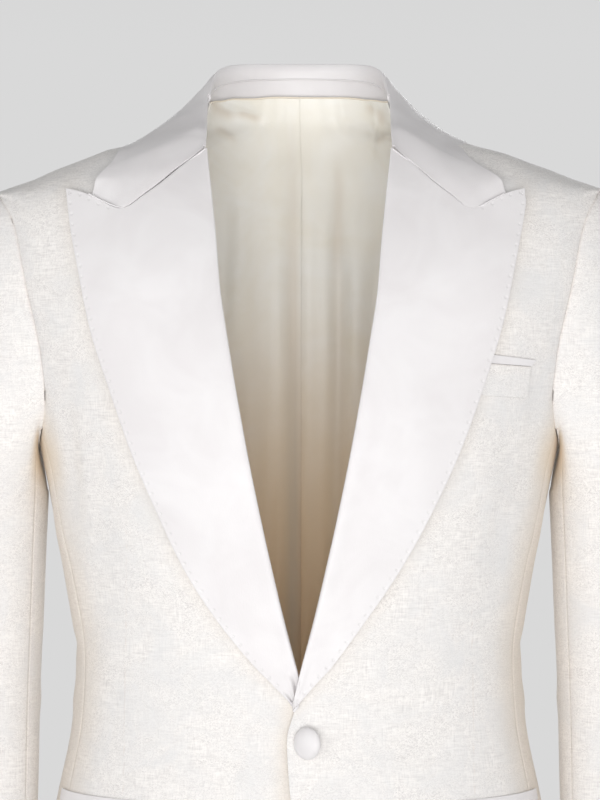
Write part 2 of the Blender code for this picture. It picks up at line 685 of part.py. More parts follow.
def back_lining(side, cloth):
    """Made from the back panel's inner face. The left piece laps over the right one at the centre."""
    turn, height = back_grid()
    _, panel = on_body(turn, height, 0.0, CLOTH)
    normal = body_normal(turn, height)
    across = np.array(LINING_COLUMNS)
    if side < 0:
        across[0] = -PLEAT_UNDER
    up = [float(np.interp(LINING_HEM, BACK_ROWS, np.arange(len(BACK_ROWS))))]
    up += [float(i) for i in range(1, len(BACK_ROWS)) if i not in LINING_SKIPS]
    up[-1] -= 0.15
    grid = np.zeros((len(up), len(across), 3))
    out = np.zeros_like(grid)
    for i, row in enumerate(up):
        low = min(int(row), len(BACK_ROWS) - 2)
        level = np.interp(row, np.arange(len(BACK_ROWS)), BACK_ROWS)
        reach = np.abs(across) * (1 - 0.10 * ramp(level, -0.060, -0.034))
        for made, source in ((grid, panel), (out, normal)):
            line = source[low] * (1 - row + low) + source[low + 1] * (row - low)
            for k in range(3):
                made[i, :, k] = np.interp(reach, np.arange(BACK_STEPS + 1), line[:, k])
            made[i, :, 0] *= np.sign(across)
    x, top = grid[..., 0] * side, grid[..., 2]
    fold = sum(deep * np.exp(-(((x - at) / wide) ** 2)) for at, wide, deep in LINING_FOLDS)
    depth = LINING_CLEAR + np.maximum(fold, 0) * (1 - ramp(top, -0.16, -0.03))
    depth = depth + MM * ramp(top, -0.07, -0.03)
    if side > 0:
        depth = depth + PLEAT_DEPTH * (1 - ramp(x, 0.016, 0.045))
    inner = grid - out * depth[..., None]
    return wall("lining_back" + NAMES[side], inner, inner - out * LINING, cloth, side)


# ---------------------------------------------------------------- build
for leftover in list(bpy.data.objects):
    bpy.data.objects.remove(leftover)
jacket = bpy.data.collections.new("tuxedo_jacket")
bpy.context.scene.collection.children.link(jacket)

jacquard = material("ivory_jacquard", IVORY, 0.75)
satin = material("white_satin", SATIN_WHITE, 0.45)
lining = material("cream_lining", CREAM, 0.4)

lapel_tops = {}
for side in (1, -1):
    front_panel(side, jacquard)
    back_panel(side, jacquard)
    side_panel(side, jacquard)
    sleeve_part("top_sleeve", TOP_SLEEVE_TURNS, jacquard, side)
    sleeve_part("under_sleeve", UNDER_SLEEVE_TURNS, jacquard, side)
    lapel_outer, lapel_inner = lapel_grids(side)
    wall("lapel" + NAMES[side], lapel_outer, lapel_inner, satin, side)
    lapel_tops[side] = (lapel_outer[-1], lapel_inner[-1])
    pocket_edge("pocket_edge_upper", POCKET_TOP, side, satin)
    pocket_edge("pocket_edge_lower", POCKET_TOP - POCKET_EDGE_HEIGHT - 2 * SEAM, side, satin)
    back_lining(side, lining)
collar(lapel_tops, satin)
patch("breast_welt_edge", WELT_STRIP, WELT_LIFT, (4, 1), satin)
patch("breast_welt", WELT, WELT_LIFT, (4, 2), jacquard)
button(satin)
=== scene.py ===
"""Looks of the tuxedo jacket: ivory jacquard, white satin facings and a cream satin lining.

Metres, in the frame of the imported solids: +Z up, the chest faces -Y and the wearer's left is +X.
"""

import math

import bmesh
import bpy
import numpy as np
from mathutils import Matrix, Vector
from mathutils.bvhtree import BVHTree
from mathutils.kdtree import KDTree


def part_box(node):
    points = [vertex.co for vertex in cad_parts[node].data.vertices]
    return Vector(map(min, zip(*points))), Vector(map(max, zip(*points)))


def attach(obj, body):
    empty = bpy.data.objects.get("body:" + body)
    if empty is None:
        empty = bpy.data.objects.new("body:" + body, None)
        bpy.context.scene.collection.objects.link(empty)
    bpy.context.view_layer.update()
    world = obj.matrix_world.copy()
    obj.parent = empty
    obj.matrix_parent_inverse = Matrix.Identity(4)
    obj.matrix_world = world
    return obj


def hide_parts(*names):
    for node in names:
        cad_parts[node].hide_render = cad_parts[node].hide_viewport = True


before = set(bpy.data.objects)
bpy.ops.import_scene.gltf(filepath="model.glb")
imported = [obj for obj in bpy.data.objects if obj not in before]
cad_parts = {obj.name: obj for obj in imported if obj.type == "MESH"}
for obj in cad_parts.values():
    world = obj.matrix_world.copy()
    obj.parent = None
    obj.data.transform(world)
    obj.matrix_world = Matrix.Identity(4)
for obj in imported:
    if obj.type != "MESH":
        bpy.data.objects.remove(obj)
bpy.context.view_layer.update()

# ---------------------------------------------------------------- camera
# It stands 2.7 m in front of the chest, level with the breast pocket, and looks straight at it through
# a long lens.
CAMERA_PLACE = (0.0008, -2.7, -0.2367)
CAMERA_LENS = 158.8

camera = bpy.data.objects.new("camera", bpy.data.cameras.new("camera"))
camera.data.lens = CAMERA_LENS
camera.location = CAMERA_PLACE
camera.rotation_euler = (math.pi / 2, 0, 0)
bpy.context.scene.collection.objects.link(camera)
bpy.context.scene.camera = camera

# ---------------------------------------------------------------- studio
# A pale round floor below the jacket, a pale grey room with a darker ceiling, and wide soft boxes. The
# strongest stands low in front, and weaker ones stand to both sides, before it and behind it.
FLOOR_HEIGHT = -1.45
FLOOR_RADIUS = 2.4
FLOOR_GREY = 0.60
ROOM_GREY = 0.694
CEILING_GREY = 0.32
CEILING_RISE = (0.10, 0.75)  # rise of the view, as a share, where the ceiling starts and is darkest
LIGHTS = (  # name, place, side, watts, colour
    ("low_box", (0.0, -3.2, -1.0), 1.6, 43.5, (1.0, 0.99, 0.985)),
    ("left_box", (-1.6, -2.5, -0.35), 1.5, 12.5, (1.0, 1.0, 1.0)),
    ("right_box", (1.6, -2.5, -0.35), 1.5, 7.5, (1.0, 1.0, 1.0)),
    ("front_box", (0.0, -4.0, 0.3), 1.6, 9.0, (1.0, 1.0, 1.0)),
    ("back_box", (0.3, 2.6, 0.3), 1.4, 15, (1.0, 1.0, 1.0)),
)
LIGHT_TARGET = (0.0, 0.0, -0.25)


def put(tree, kind, inputs=None, **settings):
    """Adds a shader node. An input given as a socket is linked, and any other is set."""
    made = tree.nodes.new("ShaderNode" + kind)
    for key, value in settings.items():
        setattr(made, key, value)
    for key, value in (inputs or {}).items():
        if isinstance(value, bpy.types.NodeSocket):
            tree.links.new(value, made.inputs[key])
        else:
            made.inputs[key].default_value = value
    return made


def ranged(tree, value, low, high, to_low=0, to_high=1, **settings):
    """Stretches a value from one range to another, and stops at the ends."""
    ends = {"Value": value, "From Min": low, "From Max": high, "To Min": to_low, "To Max": to_high}
    return put(tree, "MapRange", ends, **settings).outputs["Result"]


def plain_material(name, colour, roughness):
    made = bpy.data.materials.new(name)
    made.use_nodes = True
    shader = made.node_tree.nodes["Principled BSDF"]
    shader.inputs["Base Color"].default_value = (*colour, 1)
    shader.inputs["Roughness"].default_value = roughness
    return made, made.node_tree, shader


def add_piece(name, shape, cloth):
    """A finished bmesh as an object at the origin."""
    mesh = bpy.data.meshes.new(name)
    shape.to_mesh(mesh)
    shape.free()
    mesh.materials.append(cloth)
    mesh.shade_smooth()
    made = bpy.data.objects.new(name, mesh)
    bpy.context.scene.collection.objects.link(made)
    return made


floor_shape = bmesh.new()
bmesh.ops.create_circle(floor_shape, cap_ends=True, segments=96, radius=FLOOR_RADIUS)
bmesh.ops.translate(floor_shape, vec=(0, 0, FLOOR_HEIGHT), verts=floor_shape.verts)
floor_paint, _, _ = plain_material("floor_paint", (FLOOR_GREY,) * 3, 0.9)
floor = add_piece("floor", floor_shape, floor_paint)

room = bpy.data.worlds.new("room")
room.use_nodes = True
rise = put(room.node_tree, "TexCoord").outputs["Generated"]
rise = put(room.node_tree, "SeparateXYZ", {"Vector": rise}).outputs["Z"]
grey = ranged(room.node_tree, rise, *CEILING_RISE, ROOM_GREY, CEILING_GREY)
room.node_tree.links.new(grey, room.node_tree.nodes["Background"].inputs["Color"])
bpy.context.scene.world = room
bpy.context.scene.view_settings.view_transform = "Standard"

for light_name, place, side, watts, colour in LIGHTS:
    box = bpy.data.lights.new(light_name, "AREA")
    box.size = side
    box.energy = watts
    box.color = colour
    lamp = bpy.data.objects.new(light_name, box)
    lamp.location = place
    aim = Vector(LIGHT_TARGET) - Vector(place)
    lamp.rotation_euler = aim.to_track_quat("-Z", "Y").to_euler()
    bpy.context.scene.collection.objects.link(lamp)

# ---------------------------------------------------------------- backs
# Ivory jacquard, a silk and cotton cloth with a fine crinkled figure and slubs across it. The two backs
# join down the centre. Seams are pressed open, and sit a little below the cloth beside them.
IVORY = (0.90, 0.875, 0.85)
IVORY_SHADE = (0.69, 0.665, 0.65)
IVORY_COOL = (0.76, 0.755, 0.755)
# Painted seam shadow: a tan mixed into the cloth near each seam and along the dart, where the groove
# shades the cloth.
SEAM_SHADE_TAN = (0.60, 0.43, 0.31)
SEAM_SHADE_TINTS = (("seam", 0.0016, 0.08), ("seam", 0.008, 0.03))  # attribute, reach, share of the tan
DART_SHADE_TINT = ("dart", 0.0009, 0.18)
CLOTH_THICK = 0.0016
CLOTH_LEVELS = 3
BEVEL_SHARE = 0.15
SEAM_DIP = 0.0004
SEAM_REACH = 0.0030
SEAM_GAP_MOST = 0.0014  # an edge is a seam where another piece is this near
NECK_SEAM = -0.022  # the neck seam is higher than this, hidden under the collar
RIM_TURN = math.radians(50)  # a packed wall turns more sharply than this at its rim
FACE_TURN = 0.8  # the most that two triangles made one quad turn
HOLD_ROUNDS = 6  # of moving a skin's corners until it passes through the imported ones
LIP_OUT, LIP_IN = 0.0014, 0.0010  # a pressed edge goes on this far past the seam, and this far in
SETTLE = (  # across, top, sink
    (-0.300, -0.0750, 0.0046),
    (-0.229, -0.0708, 0.0046),
    (-0.201, -0.0608, 0.0046),
    (-0.183, -0.0555, 0.0020),
    (-0.146, -0.0424, 0.0008),
    (-0.137, -0.0393, 0.0020),
    (-0.128, -0.0324, 0.0042),
    (-0.091, -0.0086, 0.0054),
    (-0.073, 0.0091, 0.0040),
    (-0.064, 0.0175, 0.0016),
    (-0.054, 0.0198, 0.0000),
    (-0.045, 0.0190, 0.0000),
    (0.045, 0.0190, 0.0000),
    (0.056, 0.0180, 0.0000),
    (0.065, 0.0160, 0.0016),
    (0.074, 0.0067, 0.0046),
    (0.093, -0.0101, 0.0064),
    (0.111, -0.0240, 0.0054),
    (0.129, -0.0347, 0.0020),
    (0.138, -0.0401, 0.0014),
    (0.157, -0.0462, -0.0006),
    (0.185, -0.0550, 0.0002),
    (0.210, -0.0640, 0.0018),
    (0.300, -0.0800, 0.0008),
)
SETTLE_FADE = 0.036
WAIST = (  # height, right, left
    (-0.300, 0.0000, 0.0000),
    (-0.315, 0.0011, 0.0008),
    (-0.340, 0.0032, 0.0021),
    (-0.380, 0.0037, 0.0023),
    (-0.410, 0.0033, 0.0018),
    (-0.435, 0.0016, 0.0008),
    (-0.460, 0.0000, 0.0000),
)
WAIST_ACROSS = (0.150, 0.185)  # the body fills out from the first of these, and fully at the second
# Painted shade: a warm tan mixed into the cloth where it faces the arm, under the armpit and beside the
# lapels, in place of the shade and warm bounce light there.
PAINTED_SHADE_WARM = (0.76, 0.63, 0.47)
ARM_SHADE_TURN = (0.66, 1.02)  # how far the cloth faces the arm, where it starts to warm and is warmest
ARM_SHADE_HEIGHT = (-0.20, -0.28)
ARM_SHADE_SHARE = {-1: 0.40, 1: 0.50}
ARM_SHADE_SLEEVE = 0.2  # the sleeves warm by this share of it
PIT_SHADE, PIT_HEIGHT, PIT_REACH = 0.95, -0.275, 0.035  # under the armpit
SHOULDER_DEPTH = 0.014  # a seam nearer than this to the shoulder's top is pressed flat
SHOULDER_END = (0.172, 0.198)  # the ridge along the shoulder is rounded up to here
RIDGE_ROUND = 0.010
RIDGE_DROP = 0.0018
RIDGE_FACES = (0.28, -0.50, 0.82)  # which way the ridge faces on the left shoulder
FOLD_END = 0.008  # folds run out this near a seam
FOLD_SWAY = 0.25  # share of its width by which a fold wanders
FOLD_PAST, FOLD_FADE = 0.15, 0.45  # shares of its length that a fold runs on past its ends and fades over
# a fold: across and height where it starts, the same where it ends, width, depth
BACK_FOLDS = {
    "left": (
        (0.152, -0.150, 0.132, -0.380, 0.016, -0.0032),
        (0.118, -0.190, 0.104, -0.400, 0.014, -0.0024),
        (0.176, -0.290, 0.140, -0.430, 0.009, -0.0018),
        (0.012, -0.428, 0.120, -0.412, 0.010, -0.0020),
        (0.030, -0.452, 0.138, -0.446, 0.009, -0.0024),
        (0.022, -0.478, 0.100, -0.474, 0.011, 0.0006),
        (0.060, -0.520, 0.075, -0.735, 0.022, -0.0028),
        (0.125, -0.560, 0.140, -0.738, 0.018, -0.0032),
        (0.030, -0.040, 0.120, -0.066, 0.010, -0.0013),
    ),
    "right": (
        (-0.148, -0.165, -0.124, -0.365, 0.018, -0.0028),
        (-0.112, -0.210, -0.096, -0.410, 0.013, -0.0026),
        (-0.172, -0.310, -0.146, -0.450, 0.010, -0.0016),
        (-0.015, -0.420, -0.128, -0.417, 0.011, -0.0023),
        (-0.025, -0.462, -0.118, -0.444, 0.009, -0.0019),
        (-0.040, -0.486, -0.110, -0.481, 0.010, 0.0006),
        (-0.048, -0.540, -0.066, -0.736, 0.020, -0.0031),
        (-0.118, -0.545, -0.146, -0.738, 0.019, -0.0027),
        (-0.042, -0.044, -0.112, -0.060, 0.011, -0.0011),
    ),
}


def noise(tree, place, scale, detail, roughness, distortion=0):
    shape = {"Vector": place, "Scale": scale, "Detail": detail, "Roughness": roughness}
    return put(tree, "TexNoise", {**shape, "Distortion": distortion}).outputs["Fac"]


def stretched(tree, place, scale):
    return put(tree, "Mapping", {"Vector": place, "Scale": scale}).outputs["Vector"]


def kept(tree, name):
    """A value that the mesh keeps at each point."""
    return put(tree, "Attribute", attribute_name=name).outputs["Fac"]


def blend(tree, first, second, share):
    """Goes from one colour to the other. Each is a socket or three numbers."""
    ends = [end if isinstance(end, bpy.types.NodeSocket) else (*end, 1) for end in (first, second)]
    mixed = put(tree, "Mix", {6: ends[0], 7: ends[1], "Factor": share}, data_type="RGBA")
    return mixed.outputs[2]


def raised(tree, height, strength, distance, below=None, invert=False):
    relief = {"Strength": strength, "Distance": distance, "Height": height}
    if below:
        relief["Normal"] = below
    return put(tree, "Bump", relief, invert=invert).outputs["Normal"]


def jacquard(name, dart=False):
    """The ivory cloth. The seam attribute is the distance from a seam, and dart that from the dart. A tan
    painted seam shadow is mixed in near both, and a warm painted shade where the arm, the armpit and the
    lapels shade the cloth.
    """
    made, tree, shader = plain_material(name, IVORY, 0.62)
    place = put(tree, "TexCoord").outputs["Object"]
    flat = stretched(tree, place, (1, 1, 1.5))
    crinkle = noise(tree, flat, 330, 3, 0.6, 2.6)
    weft = noise(tree, stretched(tree, place, (1, 1, 8)), 95, 3, 0.65, 0.5)
    warp = noise(tree, stretched(tree, place, (8, 8, 1)), 105, 3, 0.65, 0.5)
    woven = put(tree, "Mix", {"Factor": 0.46, "A": weft, "B": warp}).outputs["Result"]
    patch = ranged(tree, noise(tree, flat, 30, 3, 0.6, 0.8), 0.42, 0.62)
    height = put(tree, "Mix", {"Factor": patch, "A": crinkle, "B": woven}).outputs["Result"]
    colour = blend(tree, IVORY_SHADE, IVORY, ranged(tree, height, 0.37, 0.58))
    cloud = ranged(tree, noise(tree, place, 24, 4, 0.6, 0.6), 0.44, 0.68, 0, 0.65)
    colour = blend(tree, colour, IVORY_COOL, cloud)
    # Painted shade of the arm, the armpit and the lapels, as a warm tan.
    colour = blend(tree, colour, PAINTED_SHADE_WARM, kept(tree, "painted_shade"))
    seam_shade_tints = (*SEAM_SHADE_TINTS, DART_SHADE_TINT) if dart else SEAM_SHADE_TINTS
    for attribute, reach, most in seam_shade_tints:
        near = ranged(tree, kept(tree, attribute), 0, reach, most, 0)
        colour = blend(tree, colour, SEAM_SHADE_TAN, near)
    bump = raised(tree, height, 0.55, 0.0005)
    if dart:
        bump = raised(tree, near, 0.8, 0.0006, bump, invert=True)
    tree.links.new(colour, shader.inputs["Base Color"])
    tree.links.new(bump, shader.inputs["Normal"])
    shader.inputs["Specular IOR Level"].default_value = 0.35
    shader.inputs["Sheen Weight"].default_value = 0.15
    shader.inputs["Sheen Roughness"].default_value = 0.4
    return made


def coordinates(mesh):
    found = np.empty(len(mesh.vertices) * 3)
    mesh.vertices.foreach_get("co", found)
    return found.reshape(-1, 3)


def normals(mesh):
    found = np.empty(len(mesh.vertices) * 3)
    mesh.vertex_normals.foreach_get("vector", found)
    return found.reshape(-1, 3)


def move_to(mesh, points):
    mesh.vertices.foreach_set("co", points.ravel())
    mesh.update()


def regions(shape):
    """The sides of a closed wall, largest first: its faces, parted where the wall turns sharply."""
    left, found = set(shape.faces), []
    while left:
        reached, waiting = [], [left.pop()]
        while waiting:
            face = waiting.pop()
            reached.append(face)
            for edge in face.edges:
                for other in edge.link_faces:
                    if other in left and edge.calc_face_angle(0) < RIM_TURN:
                        left.discard(other)
                        waiting.append(other)
        found.append(reached)
    return sorted(found, key=lambda faces: -sum(face.calc_area() for face in faces))


def skin(node, inner=False):
    """The outer side of a packed wall as quads, or its inner side."""
    shape = bmesh.new()
    shape.from_mesh(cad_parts[node].data)
    bmesh.ops.remove_doubles(shape, verts=shape.verts, dist=1e-6)
    bmesh.ops.join_triangles(
        shape, faces=shape.faces, angle_face_threshold=FACE_TURN, angle_shape_threshold=math.pi
    )
    kept = set(regions(shape)[int(inner)])
    bmesh.ops.delete(shape, geom=[face for face in shape.faces if face not in kept], context="FACES")
    rim = [edge for edge in shape.edges if edge.is_boundary]
    bmesh.ops.holes_fill(shape, edges=rim, sides=4)  # a sharp sliver left out of the region
    return shape


def smooth_skin(name, shape, levels, cloth):
    """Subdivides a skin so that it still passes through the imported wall's corners."""
    piece = add_piece(name, shape, cloth)
    finer = piece.modifiers.new("finer", "SUBSURF")
    finer.levels = finer.render_levels = levels
    finer.boundary_smooth = "PRESERVE_CORNERS"
    wanted = coordinates(piece.data)
    held = wanted.copy()
    for _ in range(HOLD_ROUNDS):
        seen = piece.evaluated_get(bpy.context.evaluated_depsgraph_get())
        held += wanted - coordinates(seen.to_mesh())[: len(wanted)]
        seen.to_mesh_clear()
        piece.data.vertices.foreach_set("co", held.ravel())
        piece.data.update()
    seen = piece.evaluated_get(bpy.context.evaluated_depsgraph_get())
    final = bpy.data.meshes.new_from_object(seen)
    piece.modifiers.clear()
    piece.data = final
    return piece


def smooth_step(share):
    share = np.clip(share, 0, 1)
    return share * share * (3 - 2 * share)


def eased(value, start, full):
    """0 at the start and 1 where it is full, with a soft change between."""
    return smooth_step((value - start) / (full - start))


def settle(mesh, waist):
    """Lets a skin sink at the shoulders and the collar's fold, and fills the body out at the waist."""
    points = coordinates(mesh)
    across, height = points[:, 0].copy(), points[:, 2].copy()
    places, tops, sinks = np.array(SETTLE).T
    rise = 1 - (np.interp(across, places, tops) - height) / SETTLE_FADE
    points[:, 2] -= np.interp(across, places, sinks) * smooth_step(rise)
    if waist:
        heights, right, left = np.array(WAIST).T
        out = np.where(across < 0, -np.interp(height, heights[::-1], right[::-1]), 0)
        out = np.where(across > 0, np.interp(height, heights[::-1], left[::-1]), out)
        points[:, 0] += out * eased(np.abs(across), *WAIST_ACROSS)
    move_to(mesh, points)


def turn_under(mesh, sewn):
    """Adds a narrow lip along the sewn edges, turned in as the cloth is at a pressed seam."""
    shape = bmesh.new()
    shape.from_mesh(mesh)
    shape.normal_update()
    edges = [edge for edge in shape.edges if edge.is_boundary and all(sewn[v.index] for v in edge.verts)]
    moves = {}
    for edge in edges:
        first, last = edge.verts
        face = edge.link_faces[0]
        away = (last.co - first.co).cross(face.normal).normalized()
        if away.dot(first.co - face.calc_center_median()) < 0:
            away.negate()
        for vertex in edge.verts:
            key = vertex.co.to_tuple(7)
            moves[key] = moves.get(key, -vertex.normal * LIP_IN) + away * LIP_OUT / 2
    for made in bmesh.ops.extrude_edge_only(shape, edges=edges)["geom"]:
        if isinstance(made, bmesh.types.BMVert):
            made.co += moves[made.co.to_tuple(7)]
    shape.to_mesh(mesh)
    shape.free()
    mesh.shade_smooth()


def free_edge_points(mesh):
    """Points along the free edge of an open skin, close together."""
    shape = bmesh.new()
    shape.from_mesh(mesh)
    found = []
    for edge in shape.edges:
        if edge.is_boundary:
            first, last = (vertex.co.copy() for vertex in edge.verts)
            found += [first.lerp(last, k / 4) for k in range(4)]
    shape.free()
    return found


def distance_from(mesh, places):
    """Distance of each vertex from the nearest of these places."""
    if not places:
        return np.ones(len(mesh.vertices))
    tree = KDTree(len(places))
    for i, place in enumerate(places):
        tree.insert(place, i)
    tree.balance()
    return np.array([tree.find(vertex.co)[2] for vertex in mesh.vertices])


def near_others(node, places):
    """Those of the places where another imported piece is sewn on."""
    verts, polygons = [], []
    for name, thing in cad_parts.items():
        if name != node and "lining" not in name:
            start = len(verts)
            verts += [tuple(vertex.co) for vertex in thing.data.vertices]
            polygons += [[start + i for i in face.vertices] for face in thing.data.polygons]
    tree = BVHTree.FromPolygons(verts, polygons)
    return [place for place in places if tree.find_nearest(place, SEAM_GAP_MOST)[0]]


def on_shoulder(places):
    """Which of the places lie on the seam along the top of the shoulder."""
    tops = np.interp([place.x for place in places], *np.array(SETTLE).T[:2])
    return [p.z > top - SHOULDER_DEPTH and abs(p.x) < SHOULDER_END[1] for p, top in zip(places, tops)]


def creased(places):
    """Those of the seam's places that show as a crease, so neither the neck's nor the shoulder's."""
    flat = on_shoulder(places)
    return [place for place, shoulder in zip(places, flat) if place.z < NECK_SEAM and not shoulder]


def round_ridge(mesh, sewn):
    """Rounds off the ridge where a front and a back meet along the shoulder."""
    ridge = [place for place, shoulder in zip(sewn, on_shoulder(sewn)) if shoulder]
    far = distance_from(mesh, ridge) / RIDGE_ROUND
    points = coordinates(mesh)
    share = eased(np.abs(points[:, 0]), *SHOULDER_END[::-1])
    drop = RIDGE_DROP * (np.sqrt(far**2 + 1) - far) * share
    out = np.array(RIDGE_FACES) / np.linalg.norm(RIDGE_FACES)
    points -= drop[:, None] * out * np.stack([np.sign(points[:, 0]), *np.ones((2, len(points)))], axis=1)
    move_to(mesh, points)


def folds_at(across, height, table):
    """Depth of the folds at each point. A fold runs between two places and fades towards both."""
    total = np.zeros(len(across))
    for x1, z1, x2, z2, width, depth in table:
        run = np.array((x2 - x1, z2 - z1))
        length = math.hypot(*run)
        along = ((across - x1) * run[0] + (height - z1) * run[1]) / length**2
        side = ((across - x1) * -run[1] + (height - z1) * run[0]) / length
        side = side - FOLD_SWAY * width * np.sin(5 * along)
        fade = smooth_step(np.minimum(along + FOLD_PAST, 1 + FOLD_PAST - along) / FOLD_FADE)
        total += depth * fade * np.exp(-((side / width) ** 2))
    return total


def keep_attribute(mesh, name, values):
    mesh.attributes.new(name, "FLOAT", "POINT").data.foreach_set("value", values)


def keep_painted_shade(mesh, facing, extra=0):
    """How much painted warm shade the cloth gets where it faces the arm, or the arm faces it, and under
    the armpit.
    """
    points = coordinates(mesh)
    sign = np.sign(points[:, 0])
    turn = facing * sign * normals(mesh)[:, 0]
    turned, low = eased(turn, *ARM_SHADE_TURN), eased(points[:, 2], *ARM_SHADE_HEIGHT)
    share = np.where(sign < 0, ARM_SHADE_SHARE[-1], ARM_SHADE_SHARE[1]) * (ARM_SHADE_SLEEVE if facing < 0 else 1)
    share = np.maximum(share, PIT_SHADE * np.exp(-(((points[:, 2] - PIT_HEIGHT) / PIT_REACH) ** 2)))
    keep_attribute(mesh, "painted_shade", np.maximum(share * turned * low, extra))


def press(piece, node, across, table, dip=SEAM_DIP, facing=0, extra=0):
    """Moves a skin in at its folds and seams, and keeps how far each point is from a seam."""
    mesh = piece.data
    points = coordinates(mesh)
    sewn = near_others(node, free_edge_points(mesh))
    seam = distance_from(mesh, creased(sewn))
    depth = folds_at(across(points), points[:, 2], table)
    if dip:
        depth *= smooth_step(seam / FOLD_END)
    depth += dip * np.exp(-((seam / SEAM_REACH) ** 2))
    move_to(mesh, points - normals(mesh) * depth[:, None])
    keep_attribute(mesh, "seam", seam)
    if facing:
        keep_painted_shade(mesh, facing, extra)
    if dip:
        turn_under(mesh, distance_from(mesh, sewn) < dip + 0.0001)
    if node.startswith(("front_", "back_")):
        round_ridge(mesh, sewn)
    if "lapel" not in node:
        settle(mesh, waist=facing > 0)


def finish_cloth(piece, node, thick):
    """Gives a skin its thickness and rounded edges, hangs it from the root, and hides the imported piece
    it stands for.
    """
    wall = piece.modifiers.new("wall", "SOLIDIFY")
    wall.thickness = thick
    wall.offset = -1
    round_off = piece.modifiers.new("round_off", "BEVEL")
    round_off.width = thick * BEVEL_SHARE
    round_off.segments = 2
    round_off.limit_method = "ANGLE"
    round_off.angle_limit = math.radians(60)
    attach(piece, "root")
    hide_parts(node)


def across_body(points):
    return points[:, 0]


def sew_panel(node, across, table, facing):
    """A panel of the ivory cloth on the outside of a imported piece."""
    piece = smooth_skin(node + "_cloth", skin(node), CLOTH_LEVELS, cloth)
    press(piece, node, across, table, facing=facing)
    finish_cloth(piece, node, CLOTH_THICK)


cloth = jacquard("ivory_jacquard")
for side, table in BACK_FOLDS.items():
    sew_panel("back_" + side, across_body, table, 1)

# ---------------------------------------------------------------- side panels
# The same cloth, one panel under each arm, sewn to the front and the back.
SIDE_FOLDS = (
    (-0.022, -0.285, 0.012, -0.410, 0.010, 0.0012),
    (0.024, -0.400, -0.030, -0.436, 0.009, 0.0014),
    (0.030, -0.452, -0.020, -0.470, 0.010, -0.0012),
    (0.000, -0.520, 0.010, -0.730, 0.016, -0.0018),
)


def along_side(points):
    return points[:, 1]


for side in ("left", "right"):
    sew_panel("side_" + side, along_side, SIDE_FOLDS, 1)

# ---------------------------------------------------------------- fronts
# The same cloth over a canvas. Each front has a dart from under the breast to the hip pocket, and the
# fastened button draws shallow folds towards itself.
FRONT_FOLDS = {
    "left": (
        (0.158, -0.235, 0.143, -0.395, 0.011, 0.0013),
        (0.176, -0.205, 0.164, -0.330, 0.009, 0.0011),
        (0.188, -0.092, 0.176, -0.170, 0.011, 0.0009),
        (0.024, -0.484, 0.118, -0.452, 0.009, 0.0012),
        (0.026, -0.492, 0.132, -0.498, 0.010, 0.0010),
        (0.020, -0.502, 0.070, -0.590, 0.013, 0.0014),
        (0.104, -0.560, 0.118, -0.735, 0.018, -0.0022),
        (0.060, -0.610, 0.074, -0.735, 0.015, 0.0018),
        (0.120, -0.052, 0.160, -0.066, 0.009, 0.0007),
    ),
    "right": (
        (-0.154, -0.228, -0.140, -0.405, 0.012, 0.0012),
        (-0.178, -0.212, -0.161, -0.345, 0.008, 0.0012),
        (-0.190, -0.100, -0.180, -0.165, 0.012, 0.0008),
        (-0.0115, -0.465, -0.0112, -0.575, 0.0045, 0.0017),
        (-0.018, -0.480, -0.110, -0.446, 0.010, 0.0013),
        (-0.010, -0.494, -0.126, -0.503, 0.009, 0.0009),
        (-0.012, -0.506, -0.062, -0.600, 0.014, 0.0013),
        (-0.108, -0.548, -0.121, -0.735, 0.017, -0.0025),
        (-0.066, -0.600, -0.082, -0.735, 0.016, 0.0016),
        (-0.124, -0.050, -0.165, -0.068, 0.010, 0.0006),
    ),
}
DART_TOP = (0.1270, -0.310)
DART_FOOT = (0.1300, -0.530)
SHIFTS = {"left": 1, "right": -1}
LAPEL_EDGE_COLUMNS = ("height", "left", "right")
LAPEL_EDGE = (
    (-0.4640, -0.0046, 0.0003),
    (-0.4583, 0.0003, 0.0060),
    (-0.4500, 0.0075, 0.0145),
    (-0.4300, 0.0257, 0.0342),
    (-0.4000, 0.0478, 0.0588),
    (-0.3600, 0.0752, 0.0848),
    (-0.3180, 0.0982, 0.1048),
    (-0.2750, 0.1183, 0.1234),
    (-0.2300, 0.1349, 0.1393),
    (-0.1850, 0.1492, 0.1540),
    (-0.1450, 0.1584, 0.1627),
    (-0.1130, 0.1651, 0.1694),
    (-0.0910, 0.1693, 0.1728),
    (-0.0782, 0.1690, 0.1744),
)
LAP_EDGE = ((-0.0051, -0.462), (-0.0088, -0.500), (-0.0080, -0.530), (-0.0060, -0.565))
BEND_HEIGHT = -0.0745  # the fronts turn here from the chest to the top of the shoulder
BEND_REACH, BEND_ROUNDS = 0.020, 400
BEND_EDGE = 0.012  # the bend is left as it is nearer than this to an edge
LAP_SHADE = ((0.30, 0.009), (0.12, 0.008))  # share and reach, beside the lap and beside the lapel


def ease_bend(mesh):
    """Rounds off the turn from the chest to the shoulder, as the canvas under it does."""
    points = coordinates(mesh)
    ends = np.empty(len(mesh.edges) * 2, int)
    mesh.edges.foreach_get("vertices", ends)
    first, last = ends.reshape(-1, 2).T
    neighbours = np.bincount(ends, minlength=len(points))
    share = 0.5 * np.exp(-(((points[:, 2] - BEND_HEIGHT) / BEND_REACH) ** 2))
    share *= smooth_step(distance_from(mesh, free_edge_points(mesh)) / BEND_EDGE)
    for _ in range(BEND_ROUNDS):
        for axis in points.T:
            near = np.bincount(first, axis[last], len(points))
            near += np.bincount(last, axis[first], len(points))
            axis += share * (near / neighbours - axis)
    move_to(mesh, points)


def dart_distance(points, sign):
    """Distance from the dart's line, and more past its ends."""
    run = Vector(DART_FOOT) - Vector(DART_TOP)
    across = sign * points[:, 0] - DART_TOP[0]
    down = points[:, 2] - DART_TOP[1]
    along = np.clip((across * run.x + down * run.y) / run.length_squared, 0, 1)
    return np.hypot(across - along * run.x, down - along * run.y)


